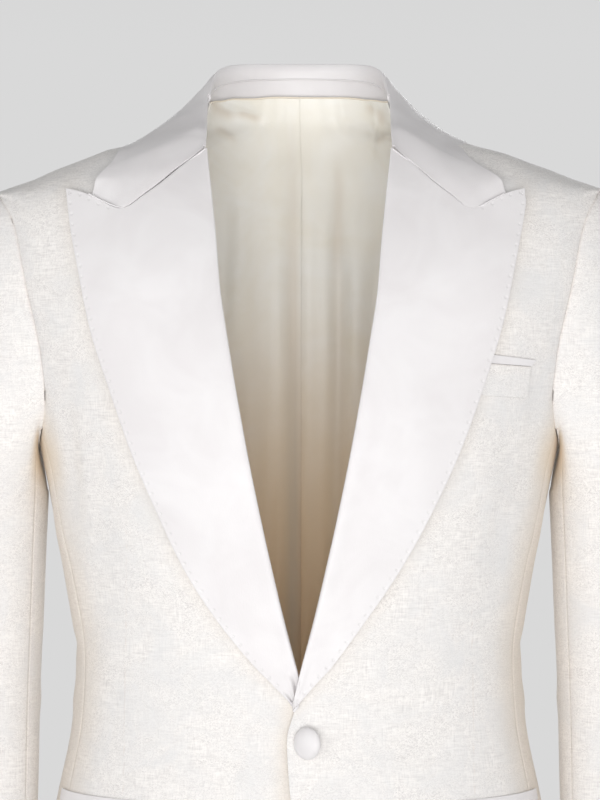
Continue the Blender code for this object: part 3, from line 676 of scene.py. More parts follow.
def near_path(points, path):
    """(length along the path, distance from it) of each point, seen from the front."""
    best = np.full(len(points), 9.0)
    run = np.zeros(len(points))
    done = 0.0
    for first, last in zip(path[:-1], path[1:]):
        step = np.subtract(last, first)
        length = np.hypot(*step)
        offset = points[:, (0, 2)] - first
        along = np.clip(offset @ step / length**2, 0, 1)
        far = np.hypot(*(offset - along[:, None] * step).T)
        run = np.where(far < best, done + along * length, run)
        best = np.minimum(best, far)
        done += length
    return run, best


def lap_shade(points, side):
    """The warm shade on the front beside its lapel, and on the right front beside the lap."""
    rows = [(SHIFTS[side] * row[LAPEL_EDGE_COLUMNS.index(side)], row[0]) for row in LAPEL_EDGE]
    (lap_share, lap_reach), (share, reach) = LAP_SHADE
    shade = share * np.exp(-((near_path(points, rows)[1] / reach) ** 2))
    if side == "right":
        lap = lap_share * np.exp(-((near_path(points, LAP_EDGE)[1] / lap_reach) ** 2))
        shade = np.maximum(shade, lap)
    return shade


darted = jacquard("ivory_jacquard_darted", dart=True)
for side, table in FRONT_FOLDS.items():
    node = "front_" + side
    piece = smooth_skin(node + "_cloth", skin(node), CLOTH_LEVELS, darted)
    ease_bend(piece.data)
    keep_attribute(piece.data, "dart", dart_distance(coordinates(piece.data), SHIFTS[side]))
    shade = lap_shade(coordinates(piece.data), side)
    press(piece, node, across_body, table, facing=1, extra=shade)
    finish_cloth(piece, node, CLOTH_THICK)

# ---------------------------------------------------------------- sleeves
# The same cloth in two pieces each, eased into the armhole. They bend a little forward at the elbow,
# where the cloth breaks.
SLEEVE_MIDDLE_X = 0.249
SLEEVE_RADIUS = 0.055
# height, y
SLEEVE_MIDDLE = ((-0.700, -0.034), (-0.560, -0.0125), (-0.430, 0.002), (-0.312, 0.004), (-0.100, 0.0))
TOP_SLEEVE_FOLDS = {
    "left": (
        (-0.078, -0.448, -0.005, -0.432, 0.011, 0.0024),
        (-0.084, -0.474, 0.012, -0.486, 0.009, -0.0020),
        (-0.072, -0.500, 0.004, -0.528, 0.010, 0.0019),
        (-0.034, -0.165, -0.014, -0.330, 0.015, 0.0017),
        (0.046, -0.155, 0.030, -0.360, 0.017, -0.0022),
        (0.072, -0.380, 0.060, -0.560, 0.013, 0.0019),
        (-0.020, -0.560, 0.002, -0.690, 0.014, 0.0015),
        (-0.070, -0.250, -0.050, -0.400, 0.010, 0.0012),
    ),
    "right": (
        (-0.080, -0.440, -0.010, -0.424, 0.010, 0.0021),
        (-0.082, -0.466, 0.018, -0.476, 0.010, -0.0023),
        (-0.070, -0.494, 0.010, -0.516, 0.009, 0.0017),
        (-0.030, -0.175, -0.018, -0.320, 0.014, 0.0015),
        (0.050, -0.150, 0.036, -0.345, 0.018, -0.0020),
        (0.070, -0.400, 0.064, -0.545, 0.014, 0.0021),
        (-0.012, -0.570, -0.004, -0.690, 0.015, 0.0013),
        (-0.068, -0.240, -0.054, -0.390, 0.011, 0.0010),
    ),
}
UNDER_SLEEVE_FOLDS = (
    (0.120, -0.420, 0.180, -0.436, 0.010, 0.0014),
    (0.118, -0.470, 0.176, -0.462, 0.009, -0.0010),
    (0.150, -0.520, 0.140, -0.690, 0.012, 0.0012),
)


def round_sleeve(points):
    """Distance round the sleeve from its outer side, positive towards the back."""
    heights, middles = np.array(SLEEVE_MIDDLE).T
    behind = points[:, 1] - np.interp(points[:, 2], heights, middles)
    return np.arctan2(behind, np.abs(points[:, 0]) - SLEEVE_MIDDLE_X) * SLEEVE_RADIUS


for side, table in TOP_SLEEVE_FOLDS.items():
    sew_panel("top_sleeve_" + side, round_sleeve, table, -1)
    sew_panel("under_sleeve_" + side, round_sleeve, UNDER_SLEEVE_FOLDS, -1)

# ---------------------------------------------------------------- lapels
# White silk satin over a canvas, cut in one with the front's facing and rolled back from the button.
# A row of pick stitches runs inside the outer edge and draws it into shallow scallops.
SATIN = (0.803, 0.784, 0.789)
SATIN_SHADE = (0.755, 0.73, 0.735)
SATIN_THICK = 0.0017
STITCH_STEP = 0.0080
STITCH_INSET = 0.0021
STITCH_DIMPLE = 0.0019
LAPEL_ROWS = (  # fold height, outer height, share of the notch
    (-0.4612, -0.4640, 0.0),
    (-0.4550, -0.4583, 0.0),
    (-0.4450, -0.4500, 0.0),
    (-0.4350, -0.4400, 0.0),
    (-0.4250, -0.4300, 0.0),
    (-0.3950, -0.4000, 0.0),
    (-0.3600, -0.3600, 0.0),
    (-0.3200, -0.3180, 0.0),
    (-0.2800, -0.2750, 0.0),
    (-0.2400, -0.2300, 0.0),
    (-0.2000, -0.1850, 0.0),
    (-0.1600, -0.1450, 0.0),
    (-0.1230, -0.1130, 0.12),
    (-0.0900, -0.0910, 0.45),
    (-0.0680, -0.0850, 0.72),
    (-0.0482, -0.0782, 1.0),
)
NOTCH = (  # share, dip
    (0.07, 0.0030),
    (0.20, 0.0097),
    (0.33, 0.0176),
    (0.46, 0.0239),
    (0.59, 0.0283),
    (0.73, 0.0190),
    (0.87, 0.0075),
    (1.00, 0.0000),
)
ROLL_LINE = (  # height, from the centre
    (-0.461, -0.0048),
    (-0.438, 0.0003),
    (-0.390, 0.0128),
    (-0.335, 0.0255),
    (-0.281, 0.0366),
    (-0.222, 0.0475),
    (-0.163, 0.0566),
    (-0.100, 0.0629),
    (-0.048, 0.0690),
)
LAPEL_TUCK = 0.0016  # the right lapel runs on this far under the left one
FOLD = ((0.0009, 0.0042), (-0.0001, 0.0024), (0.0006, 0.0007))  # out, behind
FOLD_OPEN = (-0.0001, 0.0000, 0.0001)  # out, where the fold lies flat
NARROW = 0.035  # the fold is tighter where the lapel is narrower than this
FOLD_FLAT = (-0.458, -0.430)  # the fold opens out flat between these heights, towards the button
PEAK_SHIFT = 0.0054
PEAK_TOP = ((0.156, -0.0818), (0.142, -0.0891), (0.131, -0.0936))
LAPEL_WAVES = {
    "left": (
        (0.048, -0.150, 0.130, -0.205, 0.020, 0.0007),
        (0.050, -0.235, 0.110, -0.262, 0.018, -0.0005),
        (0.030, -0.330, 0.080, -0.352, 0.016, 0.0006),
        (0.120, -0.100, 0.150, -0.200, 0.016, -0.0005),
        (0.012, -0.420, 0.032, -0.432, 0.010, 0.0004),
    ),
    "right": (
        (-0.052, -0.140, -0.125, -0.185, 0.018, 0.0006),
        (-0.046, -0.255, -0.116, -0.275, 0.020, -0.0006),
        (-0.026, -0.345, -0.084, -0.358, 0.015, 0.0005),
        (-0.125, -0.105, -0.148, -0.215, 0.017, -0.0006),
        (-0.014, -0.410, -0.040, -0.424, 0.011, 0.0004),
    ),
}


def satin(name, colour, shade, stitched=False, painted_shade=None, fold_shade=None):
    """Silk satin, with soft clouds of tone, a fine rib, and dimples at its stitches if it is stitched.
    Painted shade colours, if given, are mixed in by the shares that the mesh keeps.
    """
    made, tree, shader = plain_material(name, colour, 0.42)
    place = put(tree, "TexCoord").outputs["Object"]
    cloud = ranged(tree, noise(tree, place, 16, 3, 0.6, 0.6), 0.36, 0.64)
    mixed = blend(tree, shade, colour, cloud)
    if painted_shade:
        # Painted shade: a warm tone deeper in the garment, and a darker one in its folds.
        mixed = blend(tree, mixed, painted_shade, kept(tree, "painted_shade"))
        mixed = blend(tree, mixed, fold_shade, kept(tree, "fold"))
    tree.links.new(mixed, shader.inputs["Base Color"])
    rib = noise(tree, stretched(tree, place, (1, 1, 0.25)), 1500, 1, 0.5)
    bump = raised(tree, rib, 0.25, 0.00025)
    if stitched:
        along, inset = kept(tree, "run"), kept(tree, "inset")
        near = put(tree, "Math", {0: along, 1: STITCH_STEP / 2}, operation="PINGPONG").outputs[0]
        off = put(tree, "Math", {0: inset, 1: STITCH_INSET}, operation="SUBTRACT").outputs[0]
        spot = put(tree, "CombineXYZ", {"X": near, "Y": off}).outputs[0]
        far = put(tree, "VectorMath", {0: spot}, operation="LENGTH").outputs["Value"]
        dimple = ranged(tree, far, 0, STITCH_DIMPLE, interpolation_type="SMOOTHSTEP")
        bump = raised(tree, dimple, 1.0, 0.0003, bump)
    tree.links.new(bump, shader.inputs["Normal"])
    shader.inputs["Specular IOR Level"].default_value = 0.5
    shader.inputs["Sheen Weight"].default_value = 0.1
    return made


def lapel_outline(side):
    """The lapel's outer edge from the button up to the peak, and back along its top, as (x, z)."""
    column = LAPEL_EDGE_COLUMNS.index(side)
    sign = SHIFTS[side]
    rows = [(sign * row[column], row[0]) for row in LAPEL_EDGE[1:]]
    rows += [(sign * (x + row_shift(side)), z) for x, z in PEAK_TOP]
    return np.array(rows)


def stitch_stretch(side):
    """Stretches the length along the outline, so that the peak falls midway between two stitches."""
    steps = np.diff(lapel_outline(side)[: len(LAPEL_EDGE) - 1], axis=0)
    peak = np.hypot(*steps.T).sum()
    return (round(peak / STITCH_STEP - 0.5) + 0.5) * STITCH_STEP / peak


def row_shift(side):
    """The right peak ends a little further out than the left one."""
    return PEAK_SHIFT if side == "right" else 0.0


def seen_from_front(node, places):
    """Drops each (x, z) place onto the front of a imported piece."""
    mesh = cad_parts[node].data
    tree = BVHTree.FromPolygons([v.co for v in mesh.vertices], [f.vertices for f in mesh.polygons])
    found = []
    for x, z in places:
        hit = tree.ray_cast(Vector((x, -1, z)), Vector((0, 1, 0)))[0]
        if hit is None:
            hit = tree.find_nearest(Vector((x, found[-1].y if found else -0.1, z)))[0]
        found.append(Vector((x, hit.y, z)))
    return found


def roll_line(height, sign):
    """How far from the centre the lapel's fold lies, on its own side."""
    heights, places = np.array(ROLL_LINE).T
    place = np.interp(height, heights, places)
    return max(place, -LAPEL_TUCK - place) if sign < 0 else place


def lapel_points(side):
    """Rows of the lapel from the button up: first round its fold from the back, then out to its edge."""
    sign, node = SHIFTS[side], "lapel_" + side
    heights = [row[0] for row in LAPEL_EDGE]
    edges = [row[LAPEL_EDGE_COLUMNS.index(side)] for row in LAPEL_EDGE]
    rows = []
    for fold_height, outer_height, notch in LAPEL_ROWS:
        fold = roll_line(fold_height, sign)
        end = np.interp(outer_height, heights, edges)
        places = []
        for share, dip in NOTCH:
            x = fold + (end - fold) * share
            height = fold_height + (outer_height - fold_height) * share - dip * notch
            places.append((sign * x, height))
        leaf = seen_from_front(node, places)
        wrap = np.clip((fold_height - FOLD_FLAT[0]) / (FOLD_FLAT[1] - FOLD_FLAT[0]), 0, 1)
        first = leaf[0]
        narrow = min(1, (end - fold) / NARROW)
        around = []
        for (out, behind), flat in zip(FOLD, FOLD_OPEN):
            out = flat + (out * narrow - flat) * wrap
            place = (sign * (fold + out), first.y + behind * wrap * narrow, fold_height)
            around.append(Vector(place))
        rows.append(around + leaf)
    return rows


def grid_shape(rows):
    """A sheet of quads through rows of points."""
    shape = bmesh.new()
    across, up = len(rows[0]), len(rows)
    bmesh.ops.create_grid(shape, x_segments=across - 1, y_segments=up - 1, size=1)
    for vertex in shape.verts:
        column = round((vertex.co.x + 1) / 2 * (across - 1))
        row = round((vertex.co.y + 1) / 2 * (up - 1))
        vertex.co = rows[row][column]
    bmesh.ops.recalc_face_normals(shape, faces=shape.faces)
    if sum(face.normal.y for face in shape.faces) > 0:
        bmesh.ops.reverse_faces(shape, faces=shape.faces)
    return shape


stitched = satin("white_satin_stitched", SATIN, SATIN_SHADE, stitched=True)
for side, table in LAPEL_WAVES.items():
    node = "lapel_" + side
    piece = smooth_skin(node + "_satin", grid_shape(lapel_points(side)), 3, stitched)
    run, inset = near_path(coordinates(piece.data), lapel_outline(side))
    keep_attribute(piece.data, "run", run * stitch_stretch(side))
    keep_attribute(piece.data, "inset", inset)
    press(piece, node, across_body, table, dip=0.0)
    finish_cloth(piece, node, SATIN_THICK)

# ---------------------------------------------------------------- collar
# The same satin. The leaf falls over the stand from a soft fold, and meets the lapels at the gorge.
plain_satin = satin("white_satin", SATIN, SATIN_SHADE)
COLLAR_WAVES = (
    (0.030, -0.010, 0.060, -0.020, 0.012, -0.0006),
    (-0.026, -0.008, -0.058, -0.022, 0.013, -0.0005),
    (0.085, -0.045, 0.120, -0.075, 0.012, -0.0005),
    (-0.085, -0.046, -0.118, -0.078, 0.012, -0.0006),
)
ROLL_STEPS = ((0.00, 0.0015, 0.0003), (0.45, 0.0026, 0.0), (1.00, 0.0008, -0.0006))  # share, in, up
COLLAR_DRAW = {-1: 0.0040, 1: 0.0075}  # how far the leaf's outer edge lies towards the right arm
COLLAR_DRAW_HEIGHT = (-0.078, -0.012)
GORGE_LINE = ((0.0725, -0.0451), (0.0893, -0.0614), (0.1023, -0.0735), (0.1285, -0.0922))
COLLAR_EDGES = (  # sides, edge, reach, across, forward, drop
    ((-1, 1), GORGE_LINE, 0.004, -0.0006, 0.0003, 0.0009),
    ((-1, 1), ((0.1421, -0.0850), (0.1560, -0.0790)), 0.007, 0.0002, 0.0002, 0.0034),
    ((1,), ((0.1240, -0.0930), (0.1350, -0.0900)), 0.004, 0.0, 0.0003, 0.0014),
    ((-1,), ((0.1350, -0.0915), (0.1460, -0.0865), (0.1560, -0.0800)), 0.006, 0.0002, 0.0003, 0.0016),
)
COLLAR_FRONT = -0.04  # only the part before this closes against the lapels
COLLAR_SINK = 0.0026  # at the shoulder's top
COLLAR_SINK_Y, COLLAR_SINK_REACH = -0.008, 0.030
COLLAR_SINK_ACROSS = (0.095, 0.130)
NECK_FOLD_WIDE, NECK_FOLD_LOW = 0.071, -0.004  # half width and lowest height of the fold behind the neck
COLLAR_DRAW_ACROSS = (0.085, 0.120)
COLLAR_DRAW_DEEP = (-0.004, -0.034)  # the edge starts to draw in at the shoulder's top, towards the chest


def on_neck_fold(place):
    return place.y > 0 and place.z > NECK_FOLD_LOW and abs(place.x) < NECK_FOLD_WIDE


def roll_in(shape):
    """Carries the collar over its fold and down inside the neck, to the top of the stand."""
    inside = skin("collar_stand", inner=True)
    rim = [vertex.co.copy() for vertex in inside.verts if vertex.is_boundary]
    inside.free()
    chain = []
    for edge in shape.edges:
        if edge.is_boundary and all(on_neck_fold(vertex.co) for vertex in edge.verts):
            chain.append(edge)
    fold = {vertex for edge in chain for vertex in edge.verts}
    steps = {}
    for vertex in fold:
        start = vertex.co.copy()
        near = sorted(rim, key=lambda place: (place - start).xy.length)[:2]
        foot = max(near, key=lambda place: place.z)
        inward = Vector((-start.x, -start.y, 0)).normalized()
        steps[start.to_tuple(6)] = (start, foot, inward)
    places = dict(steps)
    for share, in_by, up_by in ROLL_STEPS:
        made = bmesh.ops.extrude_edge_only(shape, edges=chain)["geom"]
        moved = {}
        for vertex in (part for part in made if isinstance(part, bmesh.types.BMVert)):
            start, foot, inward = places[vertex.co.to_tuple(6)]
            vertex.co = start.lerp(foot, share) + inward * in_by + Vector((0, 0, up_by))
            moved[vertex.co.to_tuple(6)] = (start, foot, inward)
        places = moved
        chain = [part for part in made if isinstance(part, bmesh.types.BMEdge)]
        chain = [edge for edge in chain if all(v.co.to_tuple(6) in moved for v in edge.verts)]
    return shape


def draw_collar(mesh):
    """Closes the collar against the lapels, sinks it at the shoulders and moves its uneven outer edge."""
    points = coordinates(mesh)
    for sides, edge, reach, across, forward, drop in COLLAR_EDGES:
        for sign in sides:
            near = near_path(points, [(sign * x, z) for x, z in edge])[1]
            near = np.exp(-((near / reach) ** 2)) * (points[:, 1] < COLLAR_FRONT)
            points += near[:, None] * np.array((sign * across, -forward, -drop))
    deep = np.exp(-(((points[:, 1] - COLLAR_SINK_Y) / COLLAR_SINK_REACH) ** 2))
    points[:, 2] -= COLLAR_SINK * deep * eased(np.abs(points[:, 0]), *COLLAR_SINK_ACROSS)
    low, high = COLLAR_DRAW_HEIGHT
    bow = np.sin(np.pi * np.clip((points[:, 2] - low) / (high - low), 0, 1)) ** 2
    out = eased(np.abs(points[:, 0]), *COLLAR_DRAW_ACROSS) * eased(points[:, 1], *COLLAR_DRAW_DEEP)
    draw = np.where(points[:, 0] < 0, COLLAR_DRAW[-1], COLLAR_DRAW[1])
    points[:, 0] -= draw * bow * out
    move_to(mesh, points)


collar = smooth_skin("collar_satin", roll_in(skin("collar")), CLOTH_LEVELS, plain_satin)
draw_collar(collar.data)
press(collar, "collar", across_body, COLLAR_WAVES, dip=0.0)
finish_cloth(collar, "collar", SATIN_THICK)

# The stand is a satin band inside the neck, sewn to the collar above and the lining below.
stand = smooth_skin("collar_stand_satin", skin("collar_stand", inner=True), CLOTH_LEVELS, plain_satin)
press(stand, "collar_stand", across_body, (), dip=0.0)
finish_cloth(stand, "collar_stand", SATIN_THICK)

# ---------------------------------------------------------------- neck piping
# A fine satin cord, stitched where the collar meets the stand.
PIPING_RADIUS = 0.00055
NECK_PIPING = (  # from the centre, y, height
    (0.0665, 0.0190, 0.0010),
    (0.0588, 0.0338, 0.0074),
    (0.0482, 0.0456, 0.0108),
    (0.0346, 0.0539, 0.0128),
    (0.0188, 0.0594, 0.0138),
)
NECK_PIPING_MIDDLE = (0.0, 0.0613, 0.0142)


def cord(name, places, radius, stuff):
    """A round cord through the places."""
    line = bpy.data.curves.new(name, "CURVE")
    line.dimensions = "3D"
    line.bevel_depth = radius
    line.bevel_resolution = 3
    line.use_fill_caps = True
    line.resolution_u = 8
    spline = line.splines.new("BEZIER")
    spline.bezier_points.add(len(places) - 1)
    for point, place in zip(spline.bezier_points, places):
        point.co = place
        point.handle_left_type = point.handle_right_type = "AUTO"
    line.materials.append(stuff)
    made = bpy.data.objects.new(name, line)
    bpy.context.scene.collection.objects.link(made)
    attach(made, "root")


right_half = [(-x, y, z) for x, y, z in NECK_PIPING]
whole = [*right_half, NECK_PIPING_MIDDLE, *NECK_PIPING[::-1]]
cord("neck_piping", whole, PIPING_RADIUS, plain_satin)

# ---------------------------------------------------------------- back lining
# Cream satin in two pieces, hung inside the backs. The left one laps over the right one in an ease
# pleat down the centre, and the cloth puckers a little under the neck seam.
LINING = (0.96, 0.95, 0.90)
LINING_SHADE = (0.92, 0.89, 0.80)
LINING_THICK = 0.0009
# Painted shade: the lining turns to a darker warm tan deeper inside the jacket, and to a darker brown
# along its folds, its pleat and its puckers.
LINING_DEPTH_SHADE = (0.93, 0.70, 0.46)
LINING_FOLD_SHADE = (0.66, 0.56, 0.44)
LINING_EDGE_SHADE = (0.88, 0.80, 0.67)
LINING_TOP = (  # from the centre, y, top, lift, fade
    (0.0000, 0.0600, -0.0018, 0.0016, 0.045),
    (0.0200, 0.0585, -0.0027, 0.0021, 0.045),
    (0.0360, 0.0538, -0.0044, 0.0028, 0.040),
    (0.0454, 0.0484, -0.0063, 0.0039, 0.032),
    (0.0536, 0.0413, -0.0087, 0.0051, 0.022),
    (0.0606, 0.0330, -0.0117, 0.0065, 0.014),
    (0.0666, 0.0233, -0.0154, 0.0088, 0.010),
    (0.0703, 0.0158, -0.0185, 0.0108, 0.008),
)
LINING_IN = 0.25
LINING_IN_FROM = (0.010, 0.060)
PUCKER_HEIGHT, PUCKER_ACROSS = -0.050, 0.08  # the puckers lie above and within these
PUCKER_DEEP = 0.0026  # a pucker as deep as this is in full shade
PUCKERS = (
    (-0.0710, -0.0180, -0.0500, -0.0172, 0.0032, 0.0013),
    (-0.0500, -0.0172, -0.0290, -0.0185, 0.0030, 0.0012),
    (-0.0620, -0.0120, -0.0340, -0.0105, 0.0036, -0.0016),
    (-0.0660, -0.0270, -0.0480, -0.0330, 0.0030, 0.0007),
    (0.0520, -0.0135, 0.0680, -0.0220, 0.0032, 0.0012),
    (0.0540, -0.0085, 0.0660, -0.0150, 0.0032, -0.0013),
    (0.0600, -0.0370, 0.0680, -0.0310, 0.0030, 0.0008),
    (0.0590, -0.0100, 0.0592, -0.0500, 0.0018, -0.0009),
)
LINING_FOLDS = {
    "left": (
        (0.0060, -0.020, 0.0060, -0.600, 0.0075, -0.0022),
        (0.0300, -0.070, 0.0290, -0.460, 0.0070, 0.0008),
        (0.0200, -0.080, 0.0200, -0.420, 0.0070, -0.0020),
        (0.0410, -0.090, 0.0380, -0.440, 0.0080, -0.0022),
        (0.0560, -0.110, 0.0510, -0.520, 0.0100, -0.0014),
        (0.1000, -0.110, 0.0900, -0.600, 0.0120, -0.0020),
        (0.0120, -0.450, 0.0700, -0.440, 0.0090, -0.0012),
    ),
    "right": (
        (-0.0170, -0.030, -0.0165, -0.600, 0.0065, -0.0022),
        (-0.0290, -0.060, -0.0240, -0.300, 0.0080, -0.0018),
        (-0.0480, -0.050, -0.0520, -0.210, 0.0080, -0.0016),
        (-0.0400, -0.200, -0.0380, -0.520, 0.0090, -0.0018),
        (-0.1000, -0.130, -0.0920, -0.640, 0.0130, -0.0018),
        (-0.0100, -0.420, -0.0600, -0.445, 0.0100, -0.0012),
    ),
}
# Painted shade along the pleat and the folds, laid out as the folds are, with the share of the painted
# shade last.
LINING_SHADES = {
    "left": (
        (0.0300, -0.050, 0.0312, -0.135, 0.0042, 0.34),
        (0.0292, -0.110, 0.0282, -0.480, 0.0060, 0.30),
        (0.0620, -0.060, 0.0560, -0.300, 0.0080, 0.10),
    ),
    "right": (
        (-0.0046, -0.030, -0.0046, -0.620, 0.0046, 0.30),
        (-0.0066, -0.080, -0.0066, -0.640, 0.0066, 0.38),
        (-0.0380, -0.110, -0.0330, -0.500, 0.0080, 0.14),
    ),
}
LINING_DEPTH_SHADE_HEIGHT = (-0.115, -0.40)


def drawn_in(from_centre):
    """How far inside the stand the lifted edge comes, as a share of its lift."""
    return LINING_IN * eased(from_centre, *LINING_IN_FROM)


def lift_lining(mesh):
    """Lays the lining's top edge over the foot of the stand, in an almost level line."""
    points = coordinates(mesh)
    edge = np.array(LINING_TOP)
    fine = np.linspace(edge[0, 0], edge[-1, 0], 60)
    deep, top, lifts, fades = (np.interp(fine, edge[:, 0], column) for column in edge[:, 1:].T)
    for i, (x, y, z) in enumerate(points):
        far = np.sqrt((fine - abs(x)) ** 2 + (deep - y) ** 2 + (top - z) ** 2)
        k = int(far.argmin())
        lift = lifts[k] * smooth_step(1 - far[k] / fades[k])
        points[i] = (x - math.copysign(lift * drawn_in(abs(x)), x), y, z + lift)
    move_to(mesh, points)


def refine(piece, wanted):
    """Halves the faces that wanted accepts, twice."""
    shape = bmesh.new()
    shape.from_mesh(piece.data)
    for _ in range(2):
        edges = {edge for face in shape.faces if wanted(face.calc_center_median()) for edge in face.edges}
        bmesh.ops.subdivide_edges(shape, edges=list(edges), cuts=1, use_grid_fill=True)
    shape.to_mesh(piece.data)
    shape.free()
    piece.data.shade_smooth()


lining_cloth = satin("cream_lining", LINING, LINING_SHADE, painted_shade=LINING_DEPTH_SHADE, fold_shade=LINING_FOLD_SHADE)
for side, area in (("left", 0.137), ("right", 0.152)):
    node = "lining_back_" + side
    piece = smooth_skin(node + "_satin", skin(node, inner=True), CLOTH_LEVELS, lining_cloth)
    refine(piece, lambda middle: middle.z > PUCKER_HEIGHT and abs(middle.x) < PUCKER_ACROSS)
    places = coordinates(piece.data)
    table = PUCKERS + LINING_FOLDS[side]
    # Painted shade in the puckers, and along the pleat and the folds.
    crease_shade = np.clip(folds_at(places[:, 0], places[:, 2], PUCKERS) / PUCKER_DEEP, 0, 1)
    shades = folds_at(places[:, 0], places[:, 2], LINING_SHADES[side])
    keep_attribute(piece.data, "fold", np.minimum(shades + crease_shade, 1))
    # Painted shade, deeper towards the bottom, inside the jacket.
    keep_attribute(piece.data, "painted_shade", eased(places[:, 2], *LINING_DEPTH_SHADE_HEIGHT))
    press(piece, node, across_body, table, dip=0.0)
    lift_lining(piece.data)
    finish_cloth(piece, node, LINING_THICK)

LINING_ROLL_RADIUS = 0.00075
LINING_ROLL_WAVES = (0.0003, -0.0002, 0.0004, 0.0001, -0.0003, 0.0002, -0.0001, 0.0003)
# The lining's rolled top edge, tan with painted shade under the fold.
shaded_roll = satin("cream_lining_edge_shaded", LINING_EDGE_SHADE, LINING_EDGE_SHADE)
places = []
for sign in (-1, 1):
    row = []
    for (x, y, top, lift, _), wave in zip(LINING_TOP, LINING_ROLL_WAVES):
        out = x - lift * drawn_in(x)
        row.append((sign * out, y - LINING_THICK, top + lift + sign * wave))
    places += row[::-1] if sign < 0 else row[1:]
cord("lining_top_roll", places, LINING_ROLL_RADIUS, shaded_roll)

# ---------------------------------------------------------------- welt and pocket edges
# The breast welt is a strip of the ivory cloth under a satin edge. Each hip pocket opens between two
# narrow satin edges.
TRIMS = [
    ("breast_welt", "ivory_jacquard", cloth, (0.028, 0.050), 0.00126),
    ("breast_welt_edge", "white_satin", plain_satin, (0.010, 0.048), 0.00031),
]
for edge in ("upper_left", "upper_right", "lower_left", "lower_right"):
    TRIMS.append(("pocket_edge_" + edge, "white_satin", plain_satin, (0.010, 0.130), 0.0011))
TRIM_THICK = 0.0012
for node, slot, stuff, flat, area in TRIMS:
    piece = smooth_skin(node + "_trim", skin(node), CLOTH_LEVELS, stuff)
    press(piece, node, across_body, (), dip=0.0)
    finish_cloth(piece, node, TRIM_THICK)

# ---------------------------------------------------------------- button
# A domed button covered in the lapel's satin, drawn in underneath so that the cloth gathers at its
# rim. It hangs on a thread shank and leans a little towards the front's edge.
BUTTON_PLACE = (0.0069, -0.4873)
BUTTON = (  # radius, height
    (0.0079, 0.0002),
    (0.0104, 0.0004),
    (0.0115, 0.0012),
    (0.0119, 0.0024),
    (0.0116, 0.0035),
    (0.0106, 0.0046),
    (0.0088, 0.0057),
    (0.0062, 0.0065),
    (0.0032, 0.0070),
    (0.0000, 0.00715),
)
BUTTON_RADIUS = max(radius for radius, _ in BUTTON)
BUTTON_SIDES = 96
BUTTON_LEAN = math.radians(24)
BUTTON_NARROW = 0.89
BUTTON_FORWARD = 0.0035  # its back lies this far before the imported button's back
GATHERS, LOOSE_GATHERS = 23, 9
GATHER_DEPTH, GATHER_HEIGHT = 0.00012, 0.0045  # the gathers run out this far above its back

shape = bmesh.new()
profile = [shape.verts.new((radius, 0, height)) for radius, height in BUTTON]
lines = [shape.edges.new(pair) for pair in zip(profile[:-1], profile[1:])]
bmesh.ops.spin(
    shape, geom=profile + lines, cent=(0, 0, 0), axis=(0, 0, 1), steps=BUTTON_SIDES, angle=2 * math.pi
)
bmesh.ops.remove_doubles(shape, verts=shape.verts, dist=1e-6)
bmesh.ops.holes_fill(shape, edges=[edge for edge in shape.edges if edge.is_boundary], sides=0)
bmesh.ops.recalc_face_normals(shape, faces=shape.faces)
for vertex in shape.verts:
    radius = math.hypot(vertex.co.x, vertex.co.y)
    turn = math.atan2(vertex.co.y, vertex.co.x)
    rim = max(0, 1 - vertex.co.z / GATHER_HEIGHT) * radius / BUTTON_RADIUS
    drawn = GATHER_DEPTH * rim * (math.sin(GATHERS * turn) + 0.5 * math.sin(LOOSE_GATHERS * turn + 1.3))
    vertex.co.x += drawn * math.cos(turn)
    vertex.co.y += drawn * math.sin(turn)
bmesh.ops.rotate(shape, verts=shape.verts, matrix=Matrix.Rotation(math.pi / 2, 3, "X"))
bmesh.ops.rotate(shape, verts=shape.verts, matrix=Matrix.Rotation(-BUTTON_LEAN, 3, "Z"))
bmesh.ops.scale(shape, verts=shape.verts, vec=(BUTTON_NARROW, 1, 1))
_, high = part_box("front_button")
seat = (BUTTON_PLACE[0], high[1] - BUTTON_FORWARD, BUTTON_PLACE[1])
bmesh.ops.translate(shape, verts=shape.verts, vec=seat)
button = add_piece("button", shape, plain_satin)
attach(button, "root")
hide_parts("front_button")

# ---------------------------------------------------------------- pick stitches
# White silk thread, one short stitch in each dimple along the lapels' edges.
THREAD = (0.90, 0.885, 0.885)
STITCH_SIZE = (0.00060, 0.00026, 0.00018)  # half length, half width and half thickness
STITCH_LIFT = 0.00006

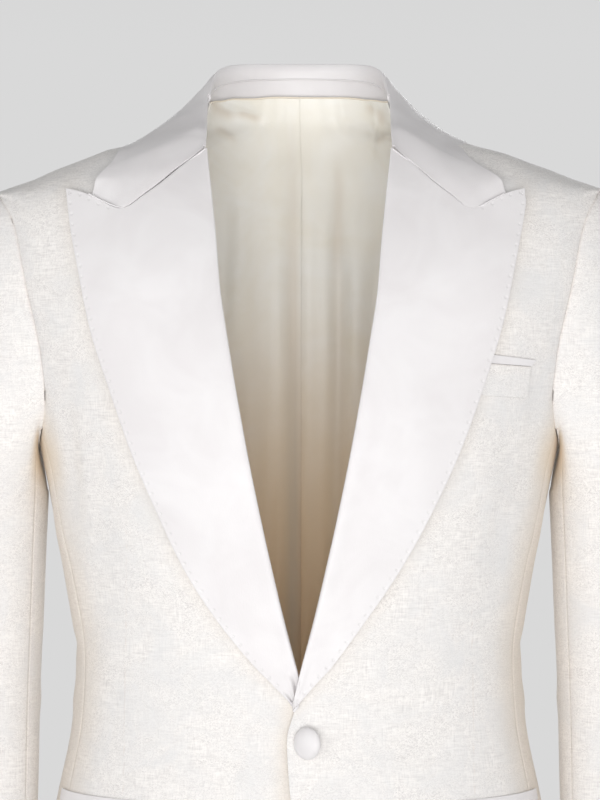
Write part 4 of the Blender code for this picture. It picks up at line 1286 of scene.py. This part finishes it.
thread, _, thread_shader = plain_material("white_silk_thread", THREAD, 0.35)
thread_shader.inputs["Sheen Weight"].default_value = 0.3
for side, sign in SHIFTS.items():
    path = lapel_outline(side)
    steps = np.diff(path, axis=0)
    runs = np.concatenate([[0], np.cumsum(np.hypot(*steps.T))])
    gap = STITCH_STEP / stitch_stretch(side)
    places, turns = [], []
    for k in range(1, int(runs[-1] / gap)):
        run = k * gap
        i = int(np.searchsorted(runs, run)) - 1
        step = Vector(steps[i]).normalized()
        inward = Vector((-step.y, step.x)) * sign
        spot = Vector(path[i]) + step * (run - runs[i]) + inward * STITCH_INSET
        places.append(tuple(spot))
        turns.append(math.atan2(step.y, step.x))
    shape = bmesh.new()
    for spot, turn in zip(seen_from_front("lapel_" + side, places), turns):
        place = Matrix.Translation(spot - Vector((0, STITCH_LIFT, 0)))
        place = place @ Matrix.Rotation(-turn, 4, "Y") @ Matrix.Diagonal((*STITCH_SIZE, 1))
        bmesh.ops.create_uvsphere(shape, u_segments=8, v_segments=6, radius=1, matrix=place)
    stitches = add_piece("pick_stitches_" + side, shape, thread)
    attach(stitches, "root")

# ---------------------------------------------------------------- gorge seams
# The folded satin edge where the collar meets each lapel, which stands up as a fine bright welt and
# runs on along the top of the peak.
GORGE = (
    (0.0700, -0.0488),
    (0.0760, -0.0533),
    (0.0890, -0.0639),
    (0.1020, -0.0757),
    (0.1150, -0.0859),
    (0.1260, -0.0936),
    (0.1310, -0.0938),
    (0.1420, -0.0886),
    (0.1530, -0.0828),
)
GORGE_SHIFT = 0.7  # along the peak's top it goes this share of the way out with a longer peak
GORGE_RADIUS = 0.00055
GORGE_LIFT = 0.0006
for side, sign in SHIFTS.items():
    places = [(sign * (x + row_shift(side) * GORGE_SHIFT * (x > PEAK_TOP[-1][0])), z) for x, z in GORGE]
    on_lapel = seen_from_front("lapel_" + side, places)
    on_collar = seen_from_front("collar", places)
    welt = []
    for first, second in zip(on_lapel, on_collar):
        welt.append((first.x, (first.y + second.y) / 2 - GORGE_LIFT, first.z))
    cord("gorge_welt_" + side, welt, GORGE_RADIUS, plain_satin)
